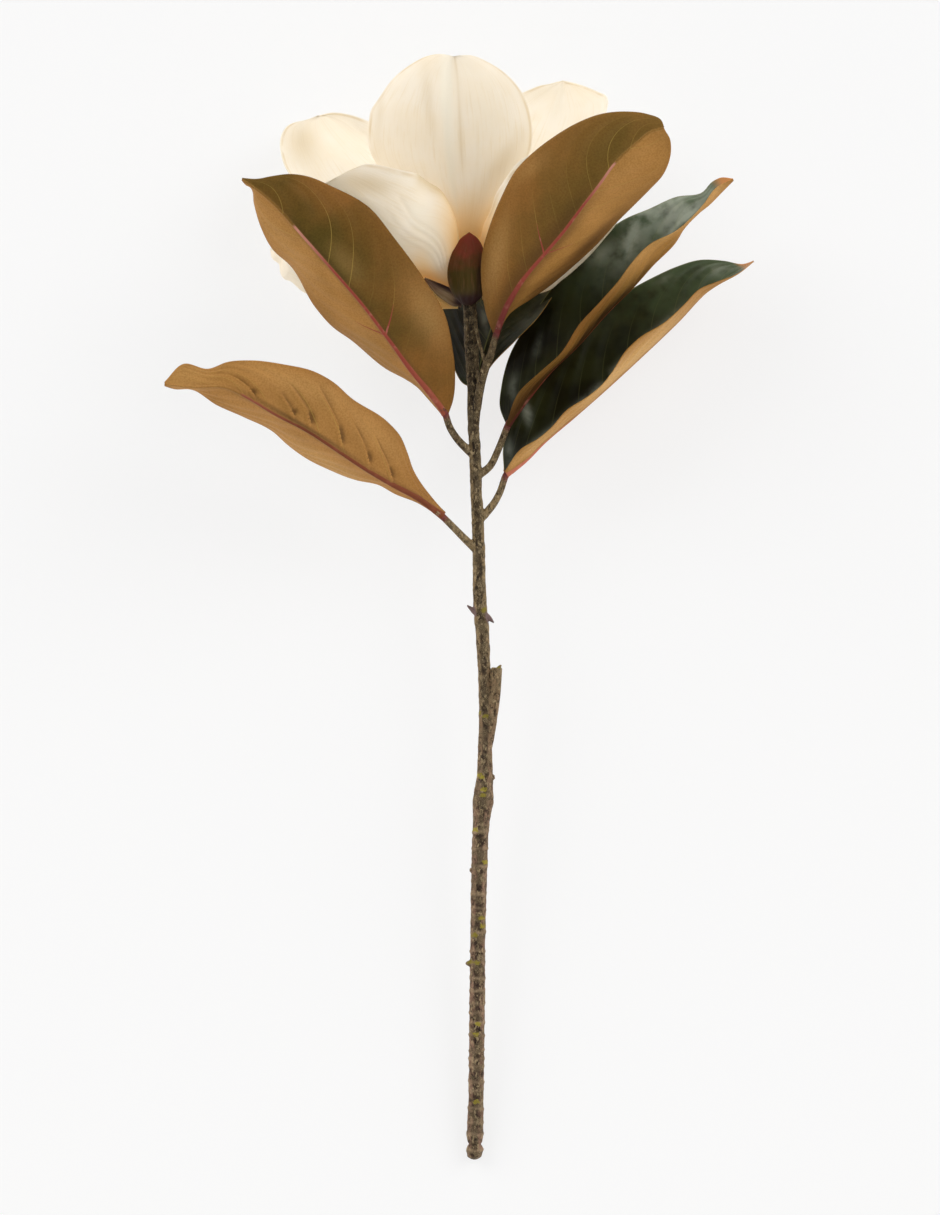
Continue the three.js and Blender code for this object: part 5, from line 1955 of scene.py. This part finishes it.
def magnolia_bloom() -> Bloom:
    """Returns the petals and bud scales of this bloom."""
    cupped = (34, 44, 44, 42, 36, 30)
    inner = (34, 36, 36, 34, 30, 26)
    wrinkles = []
    for k in range(6):
        start, end = (-0.08 - 0.04 * k, 0.14), (-0.45 - 0.05 * k, 0.58 + 0.04 * (k % 3))
        wrinkles.append(Crease(start, end, 1.1 if k % 2 else -1.1, 1.3))
    # The patches of petals and bud scales paint highlights and shade, and in places a petal's own tone.
    petals = [
        Petal(
            name="petal_front", azimuth=-4, foot=14, long=154, wide=126, lean=(4, 26, 28, 8, -12),
            curls=(34, 50, 52, 50, 44, 36),
            creases=(
                Crease((0.0, 0.25), (0.0, 1.15), -2.2, 7, side=1),
                Crease((-0.02, 0.3), (-0.015, 1.05), 1.1, 1.6), Crease((0.1, 0.1), (0.16, 0.8), 0.5, 2),
                Crease((-0.14, 0.1), (-0.3, 0.7), 0.5, 2.5), Crease((0.05, 0.05), (0.06, 0.6), -0.5, 1.2),
                Crease((-0.08, 0.05), (-0.12, 0.6), 0.5, 1.3),
            ),
            patches=tinted(
                (447, 88, 50, 7, 88, 1.0), (453, 165, 60, 6, 84, 0.7), (457.5, 118, 80, 2.6, 87, -1.0),
                (430, 112, 56, 8, 84, -0.35), (500, 165, 44, 13, -60, -0.5), (380, 115, 50, 5, 95, -0.3),
                (463, 215, 44, 16, 86, -0.15), (420, 150, 50, 16, 70, 0.25), (486, 110, 50, 20, 80, 0.3),
            ),
        ),
        Petal(
            name="petal_inner_left", azimuth=-104, foot=14, long=118, wide=46, lean=(8, 10, 10, 2, -8),
            curls=inner,
        ),
        Petal(
            name="petal_inner_right", azimuth=102, foot=14, long=122, wide=46, lean=(8, 10, 10, 2, -6),
            curls=inner,
        ),
        Petal(
            name="petal_front_left", azimuth=-49, foot=6, long=144, wide=114, roll=-8, peak=0.58,
            lean=(26, 82, 71, 51, 32), curls=(34, 90, 80, 56, 42, 36), right=Half(0.82, 0.6),
            left=Half(1.12, 1), rows=130, half_columns=56, crumple=0.08, creases=wrinkles,
            folds=(Fold(-1, 0.74, 5.5, (0.0, 0.75)),),
            patches=tinted(
                (368, 184, 44, 13, 8, -0.5), (428, 230, 46, 16, 60, 0.7), (440, 266, 22, 12, 50, 0.5),
                (460, 236, 34, 4, 90, -0.7),
            ),
        ),
        Petal(
            name="petal_front_right", azimuth=57, long=133, roll=8, lean=(18, 68, 73, 62, 50),
            curls=(34, 100, 84, 66, 54, 44), left=Half(0.9, 0.6),
            nudges=(
                Nudge((505, 172), (4, 3), 24), Nudge((487, 210), (3, 0), 14), Nudge((476, 236), (3, 0), 12),
            ),
        ),
        Petal(
            name="petal_back_left", azimuth=-126.6, long=169, wide=112, roll=25, peak=0.74, roundness=3,
            lean=(12, 34, 38, 40, 35), curls=cupped, right=Half(0.98, 1), left=Half(1.3, 0.6),
            patches=tinted((300, 142, 20, 26, 0, -0.4), (345, 165, 46, 26, 20, -0.2)),
        ),
        Petal(
            name="petal_back_right", azimuth=119, long=170, roll=-33, peak=0.72, lean=(12, 34, 37, 36, 24),
            curls=cupped, left=Half(1.14, 1), creases=(Crease((-0.1, 1.0), (-0.12, 0.86), 1.2, 2),),
            patches=tinted((560, 112, 46, 30, 0, -0.15)),
        ),
        Petal(
            name="petal_low_left", azimuth=-90, foot=2, long=130, wide=98, roll=4,
            lean=(60, 86, 86, 71, 46), curls=(34, 54, 50, 46, 44, 40),
        ),
        Petal(
            name="petal_low_right", azimuth=92, foot=2, long=108, wide=68, lean=(70, 90, 61, 48, 20),
            curls=(34, 50, 44, 40, 34, 30), left=Half(0.55, 1),
        ),
        Petal(
            name="petal_back", azimuth=180, foot=2, long=144, wide=104, lean=(20, 42, 32, 12, 0),
            curls=(34, 46, 42, 38, 34, 30),
        ),
    ]
    ribs = []
    for k in range(-3, 4):
        ribs.append(Crease((0.22 * k, 0.02), (0.1 * k, 0.95), 0.35 if k % 2 else -0.35, 1.1))
    bud = {"root": 5.1, "thickness": 0.9, "peak": 0.45, "roundness": 1.7, "rippled": 0.6, "crumple": 0.15}
    scales = [
        Petal(
            name="bract_front", azimuth=-1, foot=-3, long=55, wide=28, lean=(76, 58, 16, 6, 4),
            curls=(40, 40, 36, 36, 40), creases=ribs, **bud,
            patches=tinted((468, 300, 18, 7, 0, -1.0), (480, 275, 24, 5, 95, -0.7)),
        ),
        Petal(
            name="bract_side", azimuth=-64, foot=-6, long=36, wide=18, lean=(84, 76, 66, 58, 50),
            curls=(50, 60, 60, 60, 60), creases=ribs, **bud,
            patches=tinted((443, 285, 24, 4, 32, -1.0), (460, 302, 8, 6, 0, -1.0)),
        ),
    ]
    return Bloom(petals, scales)


# ---- surroundings ----


@dataclass(frozen=True)
class PaleFloor(Finish):
    """A matte white that glows a little, so that the floor stays bright under the branch."""

    name: str = "floor_white"
    white: float = 0.25
    glow: float = 0.72

    def surface(self, n: Nodes) -> Socket:
        """Returns the shader."""
        matte = n.add("BsdfDiffuse", Color=(self.white,) * 3).outputs[0]
        glow = n.add("Emission", Color=(1.0, 1.0, 1.0), Strength=self.glow).outputs[0]
        return n.joined(n.add("AddShader"), matte, glow)


@dataclass(frozen=True)
class Studio:
    """A bright white room: light comes mostly from the sides and off the floor, less from above."""

    floor_size: float = 40
    floor_level: float = -0.0002  # metres
    band: float = 2.3  # brightness near the horizon
    above: float = 0.45  # brightness overhead
    band_top: float = 0.36  # sine of the height at which the bright band ends
    # Soft lamps: where they are, their brightness, and the cosine of their half width.
    lamps: Sequence[tuple[Place, float, float]] = (
        ((-0.66, 0.5, 0.52), 3.2, 0.955),
        ((0.7, 0.42, 0.54), 3.2, 0.955),
    )

    def floor(self) -> None:
        """Lays the pale floor."""
        half = self.floor_size / 2
        mesh = bpy.data.meshes.new("floor")
        corners = ((-half, -half), (half, -half), (half, half), (-half, half))
        mesh.from_pydata([(x, y, self.floor_level) for x, y in corners], [], [(0, 1, 2, 3)])
        mesh.materials.append(PaleFloor().make())
        floor = bpy.data.objects.new("floor", mesh)
        bpy.context.scene.collection.objects.link(floor)

    def light(self) -> None:
        """Lights the room with a bright band round the horizon."""
        world = bpy.data.worlds.new("white_room")
        world.use_nodes = True
        bpy.context.scene.world = world
        n = Nodes(world.node_tree)
        direction = n.add("TexCoord").outputs["Generated"]
        up = n.add("SeparateXYZ", Vector=direction).outputs[2]
        share = n.step(up, self.band_top, 0.05)
        strength = n.plus(self.above, n.times(share, self.band - self.above))
        for towards, brightness, cosine in self.lamps:
            facing = n.add("VectorMath", {"operation": "DOT_PRODUCT"})
            n.feed(facing.inputs[0], direction)
            n.feed(facing.inputs[1], unit(np.array(towards)).tolist())
            lit = n.step(facing.outputs["Value"], cosine - 0.05, cosine + 0.02)
            strength = n.plus(strength, n.times(lit, brightness))
        sky = n.add("Background", Color=(1.0, 0.995, 0.985), Strength=strength)
        n.add("OutputWorld", Surface=sky.outputs[0])

    def camera(self) -> None:
        """Sets the camera straight above the branch's own plane, as in the photograph."""
        data = bpy.data.cameras.new("camera")
        data.sensor_fit = "VERTICAL"
        data.sensor_height = 36
        data.lens = data.sensor_height * PICTURE.distance / (PICTURE.height * PICTURE.scale)
        data.clip_end = 100
        camera = bpy.data.objects.new("camera", data)
        eye = np.array([*PICTURE.eye(), PICTURE.distance])
        camera.location = placed(LAY.matrix(), eye) * MM
        camera.rotation_euler = (math.radians(LAY.tilt), 0, 0)
        bpy.context.scene.collection.objects.link(camera)
        bpy.context.scene.camera = camera

    def build(self) -> None:
        """Builds the floor, the light and the camera."""
        self.floor()
        self.light()
        self.camera()
        bpy.context.scene.view_settings.view_transform = "Standard"


def main() -> None:
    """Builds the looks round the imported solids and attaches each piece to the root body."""
    logging.basicConfig(level=logging.INFO, format="%(name)s: %(message)s")
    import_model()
    Studio().build()
    foliage = magnolia_leaves()
    stem = Stem(stalks={leaf.name: leaf.stalk_end() for leaf in foliage.leaves})
    pieces = [stem.build(), *foliage.build(), *magnolia_bloom().build()]
    for piece in pieces:
        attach(piece, "root")


if __name__ == "__main__":
    main()
